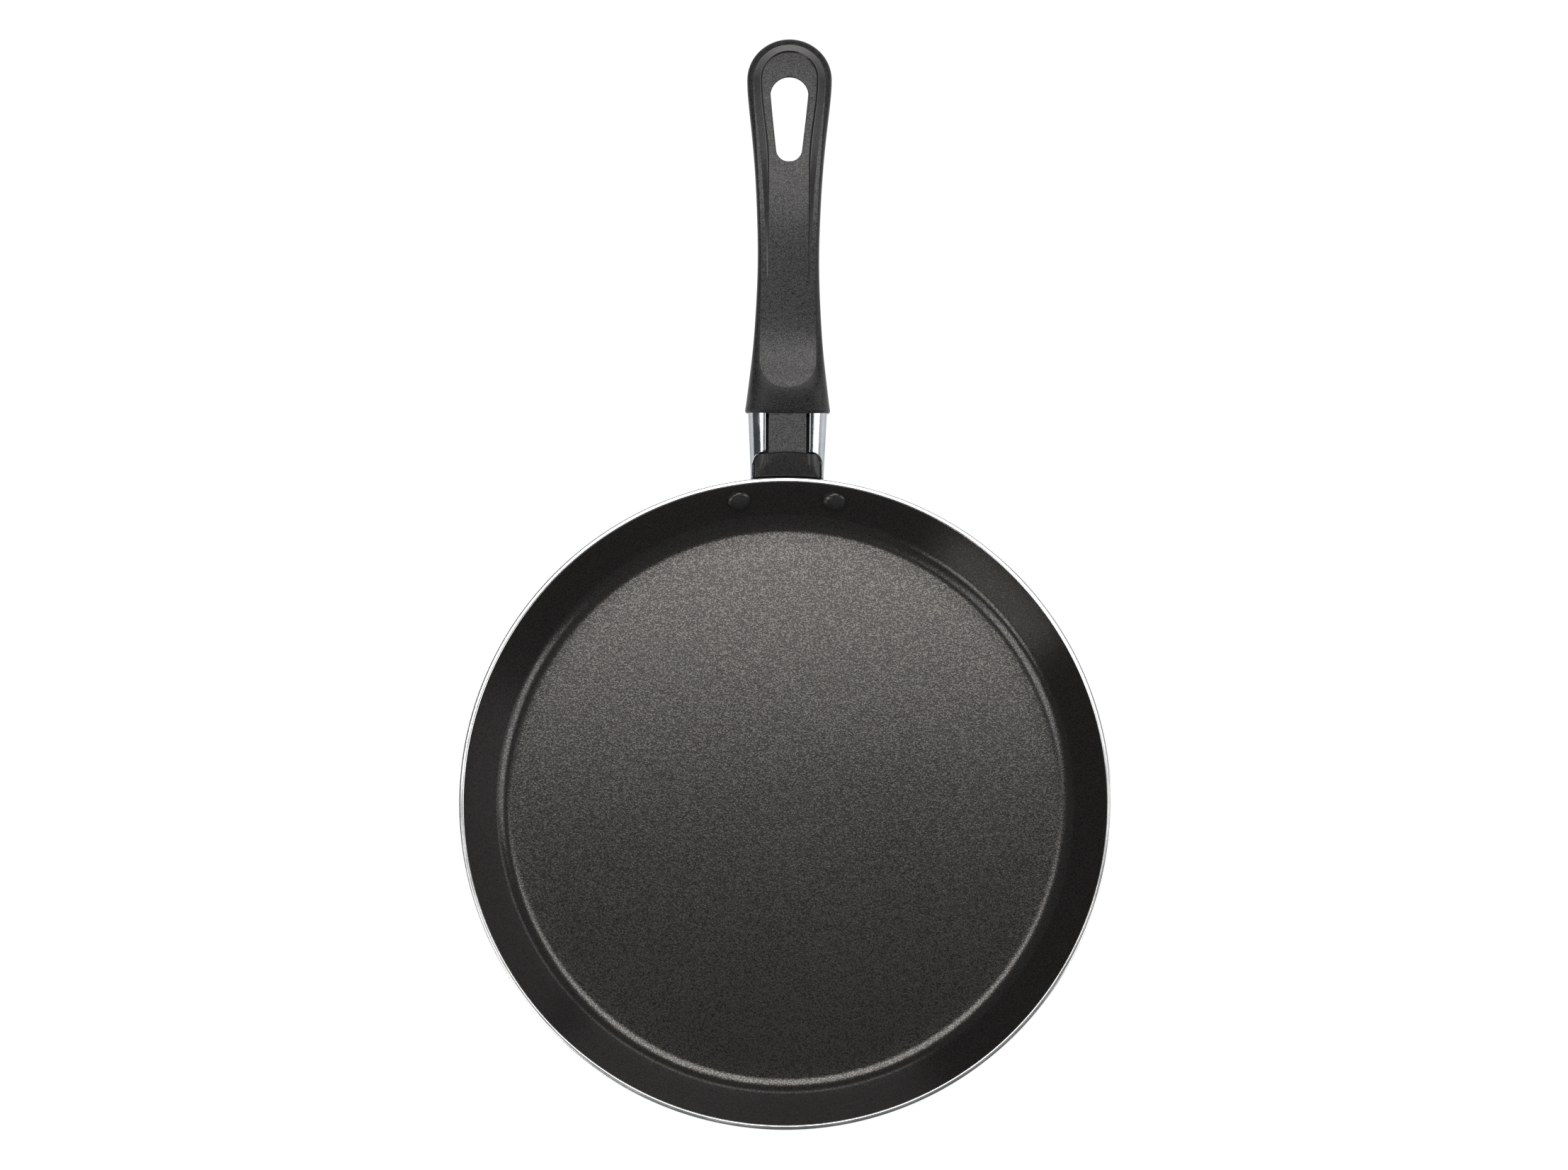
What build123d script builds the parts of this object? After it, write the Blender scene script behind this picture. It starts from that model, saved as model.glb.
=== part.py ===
from build123d import *
import math
import os

os.makedirs("parts", exist_ok=True)

# A shallow non-stick crepe pan with a fixed handle, in millimetres.
# +Z is up, the handle points along +Y, and the origin is the centre of the base's rest face.
# The whole pan is mirror symmetric about the plane X = 0.

# Pan body
rim_radius = 140.0
rim_land = 2.0
pan_height = 22.5
floor_thickness = 2.8
wall_spread = 15.0
corner_radius = 7.0
rim_outer_round = 0.9
rim_inner_round = 0.6
groove_count = 9
groove_width = 2.0
groove_depth = 0.4
first_groove_radius = 24.0
groove_margin = 15.0

# Rivets
rivet_spacing = 41.6
rivet_drop = 7.3
rivet_shank_radius = 2.5
rivet_head_radius = 5.0
rivet_head_height = 2.1
rivet_dome_share = 0.9
rivet_tail_radius = 4.3
rivet_tail_height = 1.7

# Handle bracket
ear_margin = 7.6
ear_height = 13.0
ear_thickness = 2.6
ear_corner_radius = 5.5
wedge_nose_drop = 0.9
wedge_length = 10.2
rib_width = 1.5
rib_height = 0.8
rib_length = 6.3
tang_width = 12.0
tang_thickness = 5.0
tang_length = 26.0

# Ferrule, a thin bright sleeve open along its top
axis_drop = 6.5
axis_slope = 16.0
ferrule_reach = 26.0
ferrule_tuck = 4.0
ferrule_socket = 3.0
ferrule_sheet = 0.8
ferrule_pan_width = 31.6
ferrule_pan_height = 17.0
ferrule_grip_width = 34.0
ferrule_grip_height = 19.0
ferrule_corner_share = 0.42
window_margin = 0.6
window_corner_radius = 3.4

# Tongue of the handle core, seen between the two cheeks of the ferrule
tongue_width = 16.3
tongue_thickness = 6.0
tongue_groove = 1.6

# Grip
grip_length = 162.1
tip_radius = 18.3
collar_step = 1.5
collar_thickness = 22.6
grip_rise = 16.1
underside_rise = 24.2
top_edge_radius = 2.2
under_edge_radius = 4.5
# Shares of the grip's length, each with a share of the tip's radius
half_width_shares = (
    (0.0, 0.989), (0.068, 0.921), (0.154, 0.836), (0.265, 0.762), (0.405, 0.718),
    (0.518, 0.740), (0.600, 0.775), (0.746, 0.885), (0.824, 0.962),
)
# Shares of the grip's length, each with a share of the rise of its top or of its underside
top_line_shares = (
    (0.0, 0.0), (0.049, 0.16), (0.111, 0.155), (0.167, 0.11), (0.228, 0.17), (0.296, 0.37),
    (0.364, 0.59), (0.457, 0.85), (0.568, 1.0), (0.734, 0.985), (0.857, 0.90), (1.02, 0.72),
)
under_line_shares = (
    (0.0, 0.0), (0.062, 0.085), (0.111, 0.165), (0.167, 0.285), (0.253, 0.44), (0.364, 0.67),
    (0.457, 0.85), (0.568, 0.967), (0.734, 1.0), (0.857, 0.99), (1.02, 0.95),
)

# Core panel, which fills the window in the grip
panel_end_radius = 12.3
panel_start = 10.4
panel_tip_radius = 15.6
panel_recess = 0.5
grip_floor = 3.0
# Shares of the grip's length, each with a share of the panel's end radius
panel_half_width_shares = ((0.285, 0.985), (0.405, 0.975), (0.518, 1.01), (0.600, 1.06), (0.746, 1.18))

# Horseshoe rail on the panel
rail_outer_radius = 15.2
rail_inner_radius = 11.8
rail_start_share = 0.3516
rail_leg_half_width = 8.6
rail_point_width = 1.0
rail_height = 0.9
rail_seat = 0.8
rail_round = 0.35
# Shares of the grip's length, each with a share of the rail's outer radius
rail_outer_shares = ((0.430, 0.63), (0.642, 0.77), (0.750, 0.885))
rail_straight_share = 0.66

# Hanging hole
hole_top_radius = 8.0
hole_bottom_radius = 5.6
hole_setback = 7.0
hole_length = 37.0

# Fixing screw, from under the grip into the tang
screw_place = 18.5
screw_radius = 2.5
screw_head_radius = 4.5
screw_head_height = 2.8
screw_head_round = 0.8
screw_seat_depth = 7.0
cross_width = 1.1
cross_length = 5.0
cross_depth = 1.2
washer_radius = 5.0
washer_thickness = 1.0

# Clearances and one overrun for all cuts
fit = 0.1
rim_clearance = 0.4
over = 60.0

# Places worked out from the sizes above
inner_rim_radius = rim_radius - rim_land
foot_radius = inner_rim_radius - wall_spread
groove_pitch = (foot_radius - groove_margin - first_groove_radius) / (groove_count - 1)
wall_run = wall_spread / (pan_height - floor_thickness)
wall_angle = math.atan(1 / wall_run)
# The outer wall's line meets the plane of the rim here, before the corner is rounded
rim_corner_radius = rim_radius + rim_outer_round * (1 / math.tan(wall_angle / 2) - 1)
wall_thickness = (rim_corner_radius - inner_rim_radius) * math.sin(wall_angle)
outer_foot_radius = rim_corner_radius - pan_height * wall_run
outer_corner_radius = corner_radius + wall_thickness
rivet_height = pan_height - rivet_drop
rivet_seat_radius = inner_rim_radius - rivet_drop * wall_run
rivet_turn = math.asin(rivet_spacing / 2 / rivet_seat_radius)
# The flat underside of a head rests on the hollow wall at its two sides
rivet_head_lift = rivet_head_radius**2 / rivet_seat_radius / 2
slope = math.radians(axis_slope)
axis_height = pan_height - axis_drop
grip_start = rim_radius + ferrule_reach
tip_centre = grip_start + grip_length - tip_radius
hole_top_centre = tip_centre - hole_setback
hole_bottom_centre = hole_top_centre + hole_top_radius - hole_length + hole_bottom_radius
rail_start = grip_start + rail_start_share * grip_length
wedge_end = rim_radius + wedge_length
wedge_nose_height = pan_height - wedge_nose_drop


def outer_wall_radius(height):
    """Radius of the pan's outer wall at a height."""
    return rim_corner_radius - (pan_height - height) * wall_run


def rivet_plane(side):
    """Plane on the inner wall at one rivet, facing into the dish."""
    around = Vector(math.sin(side * rivet_turn), math.cos(rivet_turn), 0)
    seat = around * rivet_seat_radius + Vector(0, 0, rivet_height)
    facing = around * -math.sin(wall_angle) + Vector(0, 0, math.cos(wall_angle))
    return Plane(origin=seat, x_dir=around.cross(Vector(0, 0, 1)), z_dir=facing)


def axis_reach(y):
    """Distance along the handle's sloping axis of the point at Y = y."""
    return (y - rim_radius) / math.cos(slope)


def axis_plane(reach):
    """Plane across the handle's sloping axis, with its own y axis upwards."""
    middle = Vector(0, rim_radius + reach * math.cos(slope), axis_height + reach * math.sin(slope))
    return Plane(origin=middle, x_dir=(-1, 0, 0), z_dir=(0, math.cos(slope), math.sin(slope)))


def ferrule_size(reach):
    """Outer width and height of the ferrule at a distance along the axis."""
    share = reach / axis_reach(grip_start)
    width = ferrule_pan_width + (ferrule_grip_width - ferrule_pan_width) * share
    height = ferrule_pan_height + (ferrule_grip_height - ferrule_pan_height) * share
    return width, height


def ferrule_top(y):
    """Height of the ferrule's top at Y = y."""
    reach = axis_reach(y)
    crown = ferrule_size(reach)[1] / 2 / math.cos(slope)
    return axis_height + reach * math.sin(slope) + crown


def sleeve_loft(start, end, inset):
    """The ferrule's outer form between two reaches, drawn in by an inset."""
    with BuildPart() as form:
        for reach in (start, end):
            width, height = ferrule_size(reach)
            with BuildSketch(axis_plane(reach)):
                RectangleRounded(width - 2 * inset, height - 2 * inset, height * ferrule_corner_share - inset)
        loft()
    return form.part


def pan_space(gap):
    """Everything inside the pan's outer wall, grown by a gap along the wall's normal, up past the rim."""
    shift = gap / math.sin(wall_angle)
    ledge = rivet_height - wall_thickness * math.cos(wall_angle) + ear_height / 2 * math.sin(wall_angle)
    with BuildPart() as space:
        with BuildSketch(Plane.XZ):
            with BuildLine():
                Polyline(
                    (0, -over),
                    (outer_wall_radius(-over) + shift, -over),
                    (outer_wall_radius(pan_height) + shift, pan_height),
                    (0, pan_height),
                    close=True,
                )
            make_face()
        revolve(axis=Axis.Z)
        with BuildSketch(Plane.XY.offset(ledge)):
            Circle(rim_radius + rim_clearance)
        extrude(amount=over)
    return space.part


def line_height(shares, base, rise, lift=0.0):
    """Points of the grip's top or under line, lifted by a distance."""
    return [(grip_start + along * grip_length, base + up * rise + lift) for along, up in shares]


collar_top = ferrule_top(grip_start) + collar_step
collar_under = collar_top - collar_thickness


def grip_slab(top_lift, under_lift):
    """Block between the grip's top line and its under line, as wide as any cut needs."""
    with BuildPart() as slab:
        with BuildSketch(Plane.YZ.offset(-over)):
            with BuildLine():
                top_line = Spline(line_height(top_line_shares, collar_top, grip_rise, top_lift))
                under_line = Spline(line_height(under_line_shares, collar_under, underside_rise, under_lift))
                Line(top_line @ 0, under_line @ 0)
                Line(top_line @ 1, under_line @ 1)
            make_face()
        extrude(amount=2 * over)
    return slab.part


def half_points(shares, width):
    """Points of a plan outline on its +X side."""
    return [(share * width, grip_start + along * grip_length) for along, share in shares]


# Pan body
with BuildPart() as pan_body:
    with BuildSketch(Plane.XZ):
        with BuildLine():
            FilletPolyline(
                (0, 0),
                (outer_foot_radius, 0),
                (rim_corner_radius, pan_height),
                (inner_rim_radius, pan_height),
                (foot_radius, floor_thickness),
                (0, floor_thickness),
                radius=(0, outer_corner_radius, rim_outer_round, rim_inner_round, corner_radius, 0),
                close=True,
            )
        make_face()
    revolve(axis=Axis.Z)
    # Turned grooves in the underside
    for turn in range(groove_count):
        groove_radius = first_groove_radius + turn * groove_pitch
        with BuildSketch():
            Circle(groove_radius + groove_width / 2)
            Circle(groove_radius - groove_width / 2, mode=Mode.SUBTRACT)
        extrude(amount=groove_depth, mode=Mode.SUBTRACT)
    # Rivet holes
    for side in (-1, 1):
        with BuildSketch(rivet_plane(side)):
            Circle(rivet_shank_radius + fit)
        extrude(amount=2 * wall_thickness, both=True, mode=Mode.SUBTRACT)
pan_body.part.label = "pan_body"
export_step(pan_body.part, "parts/pan_body.step")


# Rivets, each a domed head inside the dish, a shank and a formed tail outside the bracket
def rivet(side):
    """One rivet in its hole."""
    grip_of_rivet = wall_thickness + ear_thickness
    with BuildPart() as piece:
        with BuildSketch(rivet_plane(side)):
            Circle(rivet_shank_radius)
        extrude(amount=-grip_of_rivet - rivet_tail_height)
        with BuildSketch(rivet_plane(side)):
            Circle(rivet_shank_radius)
        extrude(amount=rivet_head_lift)
        with BuildSketch(rivet_plane(side).offset(rivet_head_lift)):
            Circle(rivet_head_radius)
        extrude(amount=rivet_head_height)
        head_rim = piece.edges().filter_by(GeomType.CIRCLE).sort_by(rivet_axis(side))[-1]
        fillet(head_rim, rivet_head_height * rivet_dome_share)
        with BuildSketch(rivet_plane(side).offset(-grip_of_rivet)):
            Circle(rivet_tail_radius)
        extrude(amount=-rivet_tail_height)
        tail_rim = piece.edges().filter_by(GeomType.CIRCLE).sort_by(rivet_axis(side))[0]
        fillet(tail_rim, rivet_tail_height / 2)
    return piece.part


def rivet_axis(side):
    """Axis of one rivet, pointing into the dish."""
    place = rivet_plane(side)
    return Axis(place.origin, place.z_dir)


for side, name in ((-1, "rivet_left"), (1, "rivet_right")):
    one_rivet = rivet(side)
    one_rivet.label = name
    export_step(one_rivet, f"parts/{name}.step")

# Handle bracket: ears riveted to the wall, a neck inside the ferrule, a bare wedge and a tang
ear_plane_origin = Vector(
    0,
    rivet_seat_radius * math.cos(rivet_turn) + wall_thickness * math.sin(wall_angle),
    rivet_height - wall_thickness * math.cos(wall_angle),
)
ear_plane = Plane(
    origin=ear_plane_origin, x_dir=(1, 0, 0), z_dir=(0, math.sin(wall_angle), -math.cos(wall_angle))
)
ear_shift = ear_thickness / math.sin(wall_angle)
neck_end = axis_reach(grip_start) - fit
tongue_floor = tongue_thickness / math.cos(slope)

with BuildPart() as ears:
    with BuildSketch(Plane.YZ):
        with BuildLine():
            Polyline(
                (outer_wall_radius(0), 0),
                (outer_wall_radius(pan_height), pan_height),
                (outer_wall_radius(pan_height) + ear_shift, pan_height),
                (outer_wall_radius(0) + ear_shift, 0),
                close=True,
            )
        make_face()
    revolve(axis=Axis.Z)
    with BuildSketch(ear_plane):
        RectangleRounded(rivet_spacing + 2 * ear_margin, ear_height, ear_corner_radius)
    extrude(amount=ear_height, both=True, mode=Mode.INTERSECT)
    for side in (-1, 1):
        with BuildSketch(rivet_plane(side)):
            Circle(rivet_shank_radius + fit)
        extrude(amount=-2 * (wall_thickness + ear_thickness), mode=Mode.SUBTRACT)

with BuildPart() as neck:
    add(sleeve_loft(-2 * ferrule_tuck, neck_end, ferrule_sheet + fit))
    # The wedge falls from the tongue to the rim, and the tongue lies on the neck behind it
    with BuildSketch(Plane.YZ):
        with BuildLine():
            Polyline(
                (rim_radius - over, wedge_nose_height),
                (rim_radius, wedge_nose_height),
                (wedge_end, ferrule_top(wedge_end) - ferrule_sheet),
                (wedge_end, ferrule_top(wedge_end) - tongue_floor),
                (grip_start + over, ferrule_top(grip_start + over) - tongue_floor),
                (grip_start + over, over),
                (rim_radius - over, over),
                close=True,
            )
        make_face()
    extrude(amount=over, both=True, mode=Mode.SUBTRACT)
    add(pan_space(0), mode=Mode.SUBTRACT)

wedge_slope = (ferrule_top(wedge_end) - ferrule_sheet - wedge_nose_height) / wedge_length
rib_start = wedge_end - rib_length
rib_place = tongue_width / 2 + tongue_groove / 2
with BuildPart() as ribs:
    for side in (-1, 1):
        with BuildSketch(Plane.YZ.offset(side * rib_place - rib_width / 2)):
            with BuildLine():
                Polyline(
                    (rib_start, wedge_nose_height + (rib_start - rim_radius) * wedge_slope - rib_height),
                    (rib_start, wedge_nose_height + (rib_start - rim_radius) * wedge_slope + rib_height),
                    (wedge_end, ferrule_top(wedge_end) - ferrule_sheet + rib_height / 2),
                    (wedge_end, ferrule_top(wedge_end) - ferrule_sheet - rib_height),
                    close=True,
                )
            make_face()
        extrude(amount=rib_width)

tang_start = neck_end - tang_thickness
tang_end = neck_end + tang_length
screw_reach = neck_end + screw_place
screw_plane = Plane(
    origin=axis_plane(screw_reach).origin, x_dir=(1, 0, 0), z_dir=(0, math.sin(slope), -math.cos(slope))
)
with BuildPart() as tang:
    with BuildSketch(axis_plane(tang_start)):
        Rectangle(tang_width, tang_thickness)
    extrude(amount=tang_end - tang_start)
    fillet(tang.faces().sort_by(Axis.Y)[-1].edges().filter_by(Axis.X, reverse=True), tang_thickness / 4)

with BuildPart() as handle_bracket:
    add(ears.part)
    add(neck.part)
    add(ribs.part)
    add(tang.part)
    with BuildSketch(screw_plane):
        Circle(screw_radius + fit)
    extrude(amount=tang_thickness, both=True, mode=Mode.SUBTRACT)
handle_bracket.part.label = "handle_bracket"
export_step(handle_bracket.part, "parts/handle_bracket.step")

# Ferrule
cheek_height = axis_height + ferrule_pan_height / 4
with BuildPart() as ferrule:
    add(sleeve_loft(-ferrule_tuck, axis_reach(grip_start) + ferrule_socket, 0))
    add(
        sleeve_loft(-2 * ferrule_tuck, axis_reach(grip_start) + 2 * ferrule_socket, ferrule_sheet),
        mode=Mode.SUBTRACT,
    )
    # Slot for the tongue, open upwards
    with BuildSketch(Plane.XY.offset(cheek_height)):
        with Locations((0, grip_start)):
            Rectangle(tongue_width + 2 * tongue_groove, over)
    extrude(amount=over, mode=Mode.SUBTRACT)
    # Window over the wedge
    with BuildSketch(Plane.XY.offset(cheek_height)):
        with Locations((0, wedge_end - over / 2)):
            RectangleRounded(ferrule_pan_width - 2 * window_margin, over, window_corner_radius)
    extrude(amount=over, mode=Mode.SUBTRACT)
    add(pan_space(ear_thickness + fit), mode=Mode.SUBTRACT)
ferrule.part.label = "ferrule"
export_step(ferrule.part, "parts/ferrule.step")


def hanging_hole():
    """The tapered hanging hole as a solid."""
    with BuildPart() as hole:
        with BuildSketch():
            with Locations((0, hole_top_centre)):
                Circle(hole_top_radius)
            with Locations((0, hole_bottom_centre)):
                Circle(hole_bottom_radius)
            make_hull()
        extrude(amount=2 * over)
    return hole.part


# Core: a hard panel with a tongue, fixed to the tang by the screw
panel_centre = grip_start + panel_start + panel_end_radius


def panel_form(top_lift):
    """The panel's outline, from the floor of the grip to a lift above the grip's top line."""
    with BuildPart() as form:
        with BuildSketch():
            with BuildLine():
                tip = CenterArc((0, tip_centre), panel_tip_radius, 0, 180)
                right = Spline(
                    [(panel_end_radius, panel_centre)]
                    + half_points(panel_half_width_shares, panel_end_radius)
                    + [tip @ 0],
                    tangents=[(0, 1), (0, 1)],
                )
                mirror(right, about=Plane.YZ)
                CenterArc((0, panel_centre), panel_end_radius, 180, 180)
            make_face()
        extrude(amount=2 * over)
        add(grip_slab(top_lift, grip_floor), mode=Mode.INTERSECT)
    return form.part


# The tongue follows the ferrule to its end, then runs level into the panel
tongue_bend = grip_start + ferrule_socket
with BuildPart() as tongue:
    with BuildSketch(Plane.YZ.offset(-tongue_width / 2)):
        with BuildLine():
            Polyline(
                (wedge_end + fit, ferrule_top(wedge_end + fit)),
                (tongue_bend, ferrule_top(tongue_bend)),
                (panel_centre, ferrule_top(tongue_bend)),
                (panel_centre, ferrule_top(tongue_bend) - tongue_floor + fit),
                (tongue_bend, ferrule_top(tongue_bend) - tongue_floor + fit),
                (wedge_end + fit, ferrule_top(wedge_end + fit) - tongue_floor + fit),
                close=True,
            )
        make_face()
    extrude(amount=tongue_width)

with BuildPart() as tang_space:
    with BuildSketch(axis_plane(neck_end)):
        Rectangle(tang_width + 2 * fit, tang_thickness + 2 * fit)
    extrude(amount=tang_length + fit)

with BuildPart() as screw_space:
    with BuildSketch(screw_plane):
        Circle(screw_radius + fit)
    extrude(amount=screw_seat_depth)
    with BuildSketch(screw_plane.offset(screw_seat_depth)):
        Circle(washer_radius + 2 * fit)
    extrude(amount=over / 2)

# Horseshoe rail, seated in the panel
with BuildPart() as grip_rail:
    with BuildSketch():
        with BuildLine():
            outer_tip = CenterArc((0, tip_centre), rail_outer_radius, 0, 180)
            outer_leg = Spline(
                [(rail_leg_half_width + rail_point_width, rail_start)]
                + half_points(rail_outer_shares, rail_outer_radius)
                + [outer_tip @ 0],
                tangents=[(rail_point_width, rail_leg_half_width), (0, 1)],
            )
            mirror(outer_leg, about=Plane.YZ)
            inner_tip = CenterArc((0, tip_centre), rail_inner_radius, 0, 180)
            inner_bend = (rail_leg_half_width, grip_start + rail_straight_share * grip_length)
            inner_leg = Line((rail_leg_half_width, rail_start), inner_bend)
            inner_curve = Spline([inner_bend, inner_tip @ 0], tangents=[(0, 1), (0, 1)])
            mirror(inner_leg, about=Plane.YZ)
            mirror(inner_curve, about=Plane.YZ)
            foot = Line(outer_leg @ 0, inner_leg @ 0)
            mirror(foot, about=Plane.YZ)
        make_face()
    extrude(amount=2 * over)
    add(grip_slab(rail_height - panel_recess, 0), mode=Mode.INTERSECT)
    add(grip_slab(-panel_recess - rail_seat, 0), mode=Mode.SUBTRACT)
    fillet(grip_rail.faces().sort_by(Axis.Z)[-1].edges(), rail_round)
grip_rail.part.label = "grip_rail"
export_step(grip_rail.part, "parts/grip_rail.step")

with BuildPart() as handle_core:
    add(panel_form(-panel_recess))
    add(tongue.part)
    add(tang_space.part, mode=Mode.SUBTRACT)
    add(screw_space.part, mode=Mode.SUBTRACT)
    add(hanging_hole(), mode=Mode.SUBTRACT)
    add(grip_rail.part, mode=Mode.SUBTRACT)
handle_core.part.label = "handle_core"
export_step(handle_core.part, "parts/handle_core.step")

# Grip: the smooth outer shell around the core, with the collar over the ferrule's end
with BuildPart() as grip_form:
    with BuildSketch():
        with BuildLine():
            end_arc = CenterArc((0, tip_centre), tip_radius, 0, 180)
            flank = Spline(
                half_points(half_width_shares, tip_radius) + [end_arc @ 0],
                tangents=[(half_width_shares[1][1] - half_width_shares[0][1], half_width_shares[1][0]), (0, 1)],
            )
            mirror(flank, about=Plane.YZ)
            Line(flank @ 0, Vector(-(flank @ 0).X, (flank @ 0).Y))
        make_face()
    extrude(amount=2 * over)
    add(grip_slab(0, 0), mode=Mode.INTERSECT)
    top_face = grip_form.faces().filter_by(lambda face: face.normal_at().Z > 0.5)[0]
    fillet(top_face.edges().sort_by(Axis.Y)[1:], top_edge_radius)
    under_face = grip_form.faces().filter_by(lambda face: face.normal_at().Z < -0.5)[0]
    fillet(under_face.edges().sort_by(Axis.Y)[1:], under_edge_radius)

with BuildPart() as grip_sleeve:
    add(grip_form.part)
    add(panel_form(rail_height), mode=Mode.SUBTRACT)
    add(tongue.part, mode=Mode.SUBTRACT)
    add(tang_space.part, mode=Mode.SUBTRACT)
    add(screw_space.part, mode=Mode.SUBTRACT)
    add(hanging_hole(), mode=Mode.SUBTRACT)
    add(grip_rail.part, mode=Mode.SUBTRACT)
    add(
        sleeve_loft(axis_reach(grip_start) - ferrule_socket, axis_reach(grip_start) + ferrule_socket + fit, -fit),
        mode=Mode.SUBTRACT,
    )
grip_sleeve.part.label = "grip_sleeve"
export_step(grip_sleeve.part, "parts/grip_sleeve.step")

# Fixing screw and its washer
head_start = screw_seat_depth + washer_thickness
with BuildPart() as fixing_screw:
    with BuildSketch(screw_plane.offset(-tang_thickness / 2)):
        Circle(screw_radius)
    extrude(amount=tang_thickness / 2 + head_start)
    with BuildSketch(screw_plane.offset(head_start)):
        Circle(screw_head_radius)
    extrude(amount=screw_head_height)
    fillet(fixing_screw.faces().sort_by(Axis.Z)[0].edges(), screw_head_round)
    with BuildSketch(screw_plane.offset(head_start + screw_head_height)):
        Rectangle(cross_length, cross_width)
        Rectangle(cross_width, cross_length)
    extrude(amount=-cross_depth, mode=Mode.SUBTRACT)
fixing_screw.part.label = "fixing_screw"
export_step(fixing_screw.part, "parts/fixing_screw.step")

with BuildPart() as screw_washer:
    with BuildSketch(screw_plane.offset(screw_seat_depth)):
        Circle(washer_radius)
        Circle(screw_radius + fit, mode=Mode.SUBTRACT)
    extrude(amount=washer_thickness)
screw_washer.part.label = "screw_washer"
export_step(screw_washer.part, "parts/screw_washer.step")
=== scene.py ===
from math import acos, asin, atan, atan2, ceil, copysign, cos, dist, hypot, pi, radians, sin, sqrt, tan

import bmesh
import bpy
import numpy as np
from mathutils import Matrix, Vector


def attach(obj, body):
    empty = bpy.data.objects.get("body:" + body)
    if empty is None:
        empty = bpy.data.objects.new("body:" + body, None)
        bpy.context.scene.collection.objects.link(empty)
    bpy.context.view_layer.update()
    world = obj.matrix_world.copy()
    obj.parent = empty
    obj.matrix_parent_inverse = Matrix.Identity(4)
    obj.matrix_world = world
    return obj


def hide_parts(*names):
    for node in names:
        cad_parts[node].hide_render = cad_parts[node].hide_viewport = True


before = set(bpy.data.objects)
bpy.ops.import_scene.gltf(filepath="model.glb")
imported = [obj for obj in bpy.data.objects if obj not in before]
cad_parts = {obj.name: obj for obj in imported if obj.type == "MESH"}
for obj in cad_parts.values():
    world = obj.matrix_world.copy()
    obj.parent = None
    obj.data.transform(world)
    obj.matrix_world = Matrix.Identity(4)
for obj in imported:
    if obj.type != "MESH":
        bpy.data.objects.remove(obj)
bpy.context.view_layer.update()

# Sizes are in millimetres here, and meshes are written in metres through MM.
# The frame is the CAD model's: +Z up, the handle along +Y, the base's rest face at the origin.
MM = 0.001
QUARTER = pi / 2

# Points closer than this become one, in metres
WELD = 2e-6
FINE_WELD = 1e-7

# Pan body
RIM_RADIUS = 140.0
RIM_LAND = 2.0
PAN_HEIGHT = 22.5
FLOOR_THICKNESS = 2.8
FOOT_RADIUS = 123.0
CORNER_RADIUS = 10.0
OUTER_CORNER_RADIUS = 9.3
RIM_OUTER_ROUND = 0.9
RIM_INNER_ROUND = 0.9
GROOVE_COUNT = 9
GROOVE_PITCH = 10.5
GROOVE_WIDTH = 2.0
GROOVE_DEPTH = 0.4
GROOVE_ROUND = 0.15
FIRST_GROOVE_RADIUS = 24.0
PAN_TURNS = 384
PAN_LONGEST_STEP = 6.0

# Where the pan's finishes meet: the coating ends on the rim, bare metal reaches a little down outside,
# and the lacquer ends at the foot
COATING_EDGE_RADIUS = 137.85
BARE_DEPTH = 1.53
LACQUER_EDGE_HEIGHT = 0.48
LACQUER_FOOT_MARGIN = 3.0

# Rivets
RIVET_SPACING = 41.6
RIVET_DROP = 7.3
RIVET_SHANK_RADIUS = 2.5
RIVET_HEAD_RADIUS = 5.0
RIVET_HEAD_HEIGHT = 2.1
RIVET_HEAD_EDGE = 0.35
RIVET_TAIL_RADIUS = 4.3
RIVET_TAIL_HEIGHT = 1.7
RIVET_TAIL_EDGE = 0.3
RIVET_TAIL_CHAMFER = 0.2
RIVET_TURNS = 64

# Bracket
EAR_MARGIN = 7.6
EAR_HEIGHT = 13.0
EAR_THICKNESS = 2.6
EAR_CORNER = 5.5
EAR_EASE = 0.5
EAR_GAP = 0.02
EAR_LONGEST_STEP = 2.0
WEDGE_NOSE_HEIGHT = 21.6
WEDGE_END = 150.2
WEDGE_GAP = 0.12
WEDGE_END_GAP = 0.1
WEDGE_BULGE = 0.35
WEDGE_BLEND = 1.2
WEDGE_NOSE_ROUND = 0.5
WEDGE_NOSE_SHARE = 0.06
WEDGE_REACH = 15.4
RIB_ZONE = (7.6, 10.4)
RIB_HALF_WIDTH = 0.825
RIB_HEIGHT = 0.8
RIB_LENGTH = 6.3
RIB_RUN_IN = 1.2
RIM_CLEARANCE = 0.45
NECK_START = 141.5
NECK_STEP = 1.5
NECK_DROP = 3.5
NECK_END_GAP = 0.2
FIT = 0.1

# Ferrule and tongue
AXIS_HEIGHT = 16.0
AXIS_SLOPE = radians(16.0)
GRIP_START = 166.0
FERRULE_END = 169.0
FERRULE_SHEET = 0.8
FERRULE_PAN_SIZE = (31.6, 17.0)
FERRULE_GRIP_SIZE = (34.0, 19.0)
FERRULE_POWER = 3.1
WINDOW_HALF_WIDTH = 15.2
WINDOW_MARGIN = 0.3
WINDOW_CORNER = 5.0
TONGUE_WIDTH = 16.3
TONGUE_GROOVE = 1.6
TONGUE_THICKNESS = 6.0
TONGUE_EASE = 0.5
TONGUE_DROP = 0.05
TONGUE_CROWN = 0.12
TONGUE_NOSE_ROUND = 0.3
TONGUE_OVERLAP = 3.0
JOINT_ARCH = 0.7
JOINT_GAP = 0.18

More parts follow.
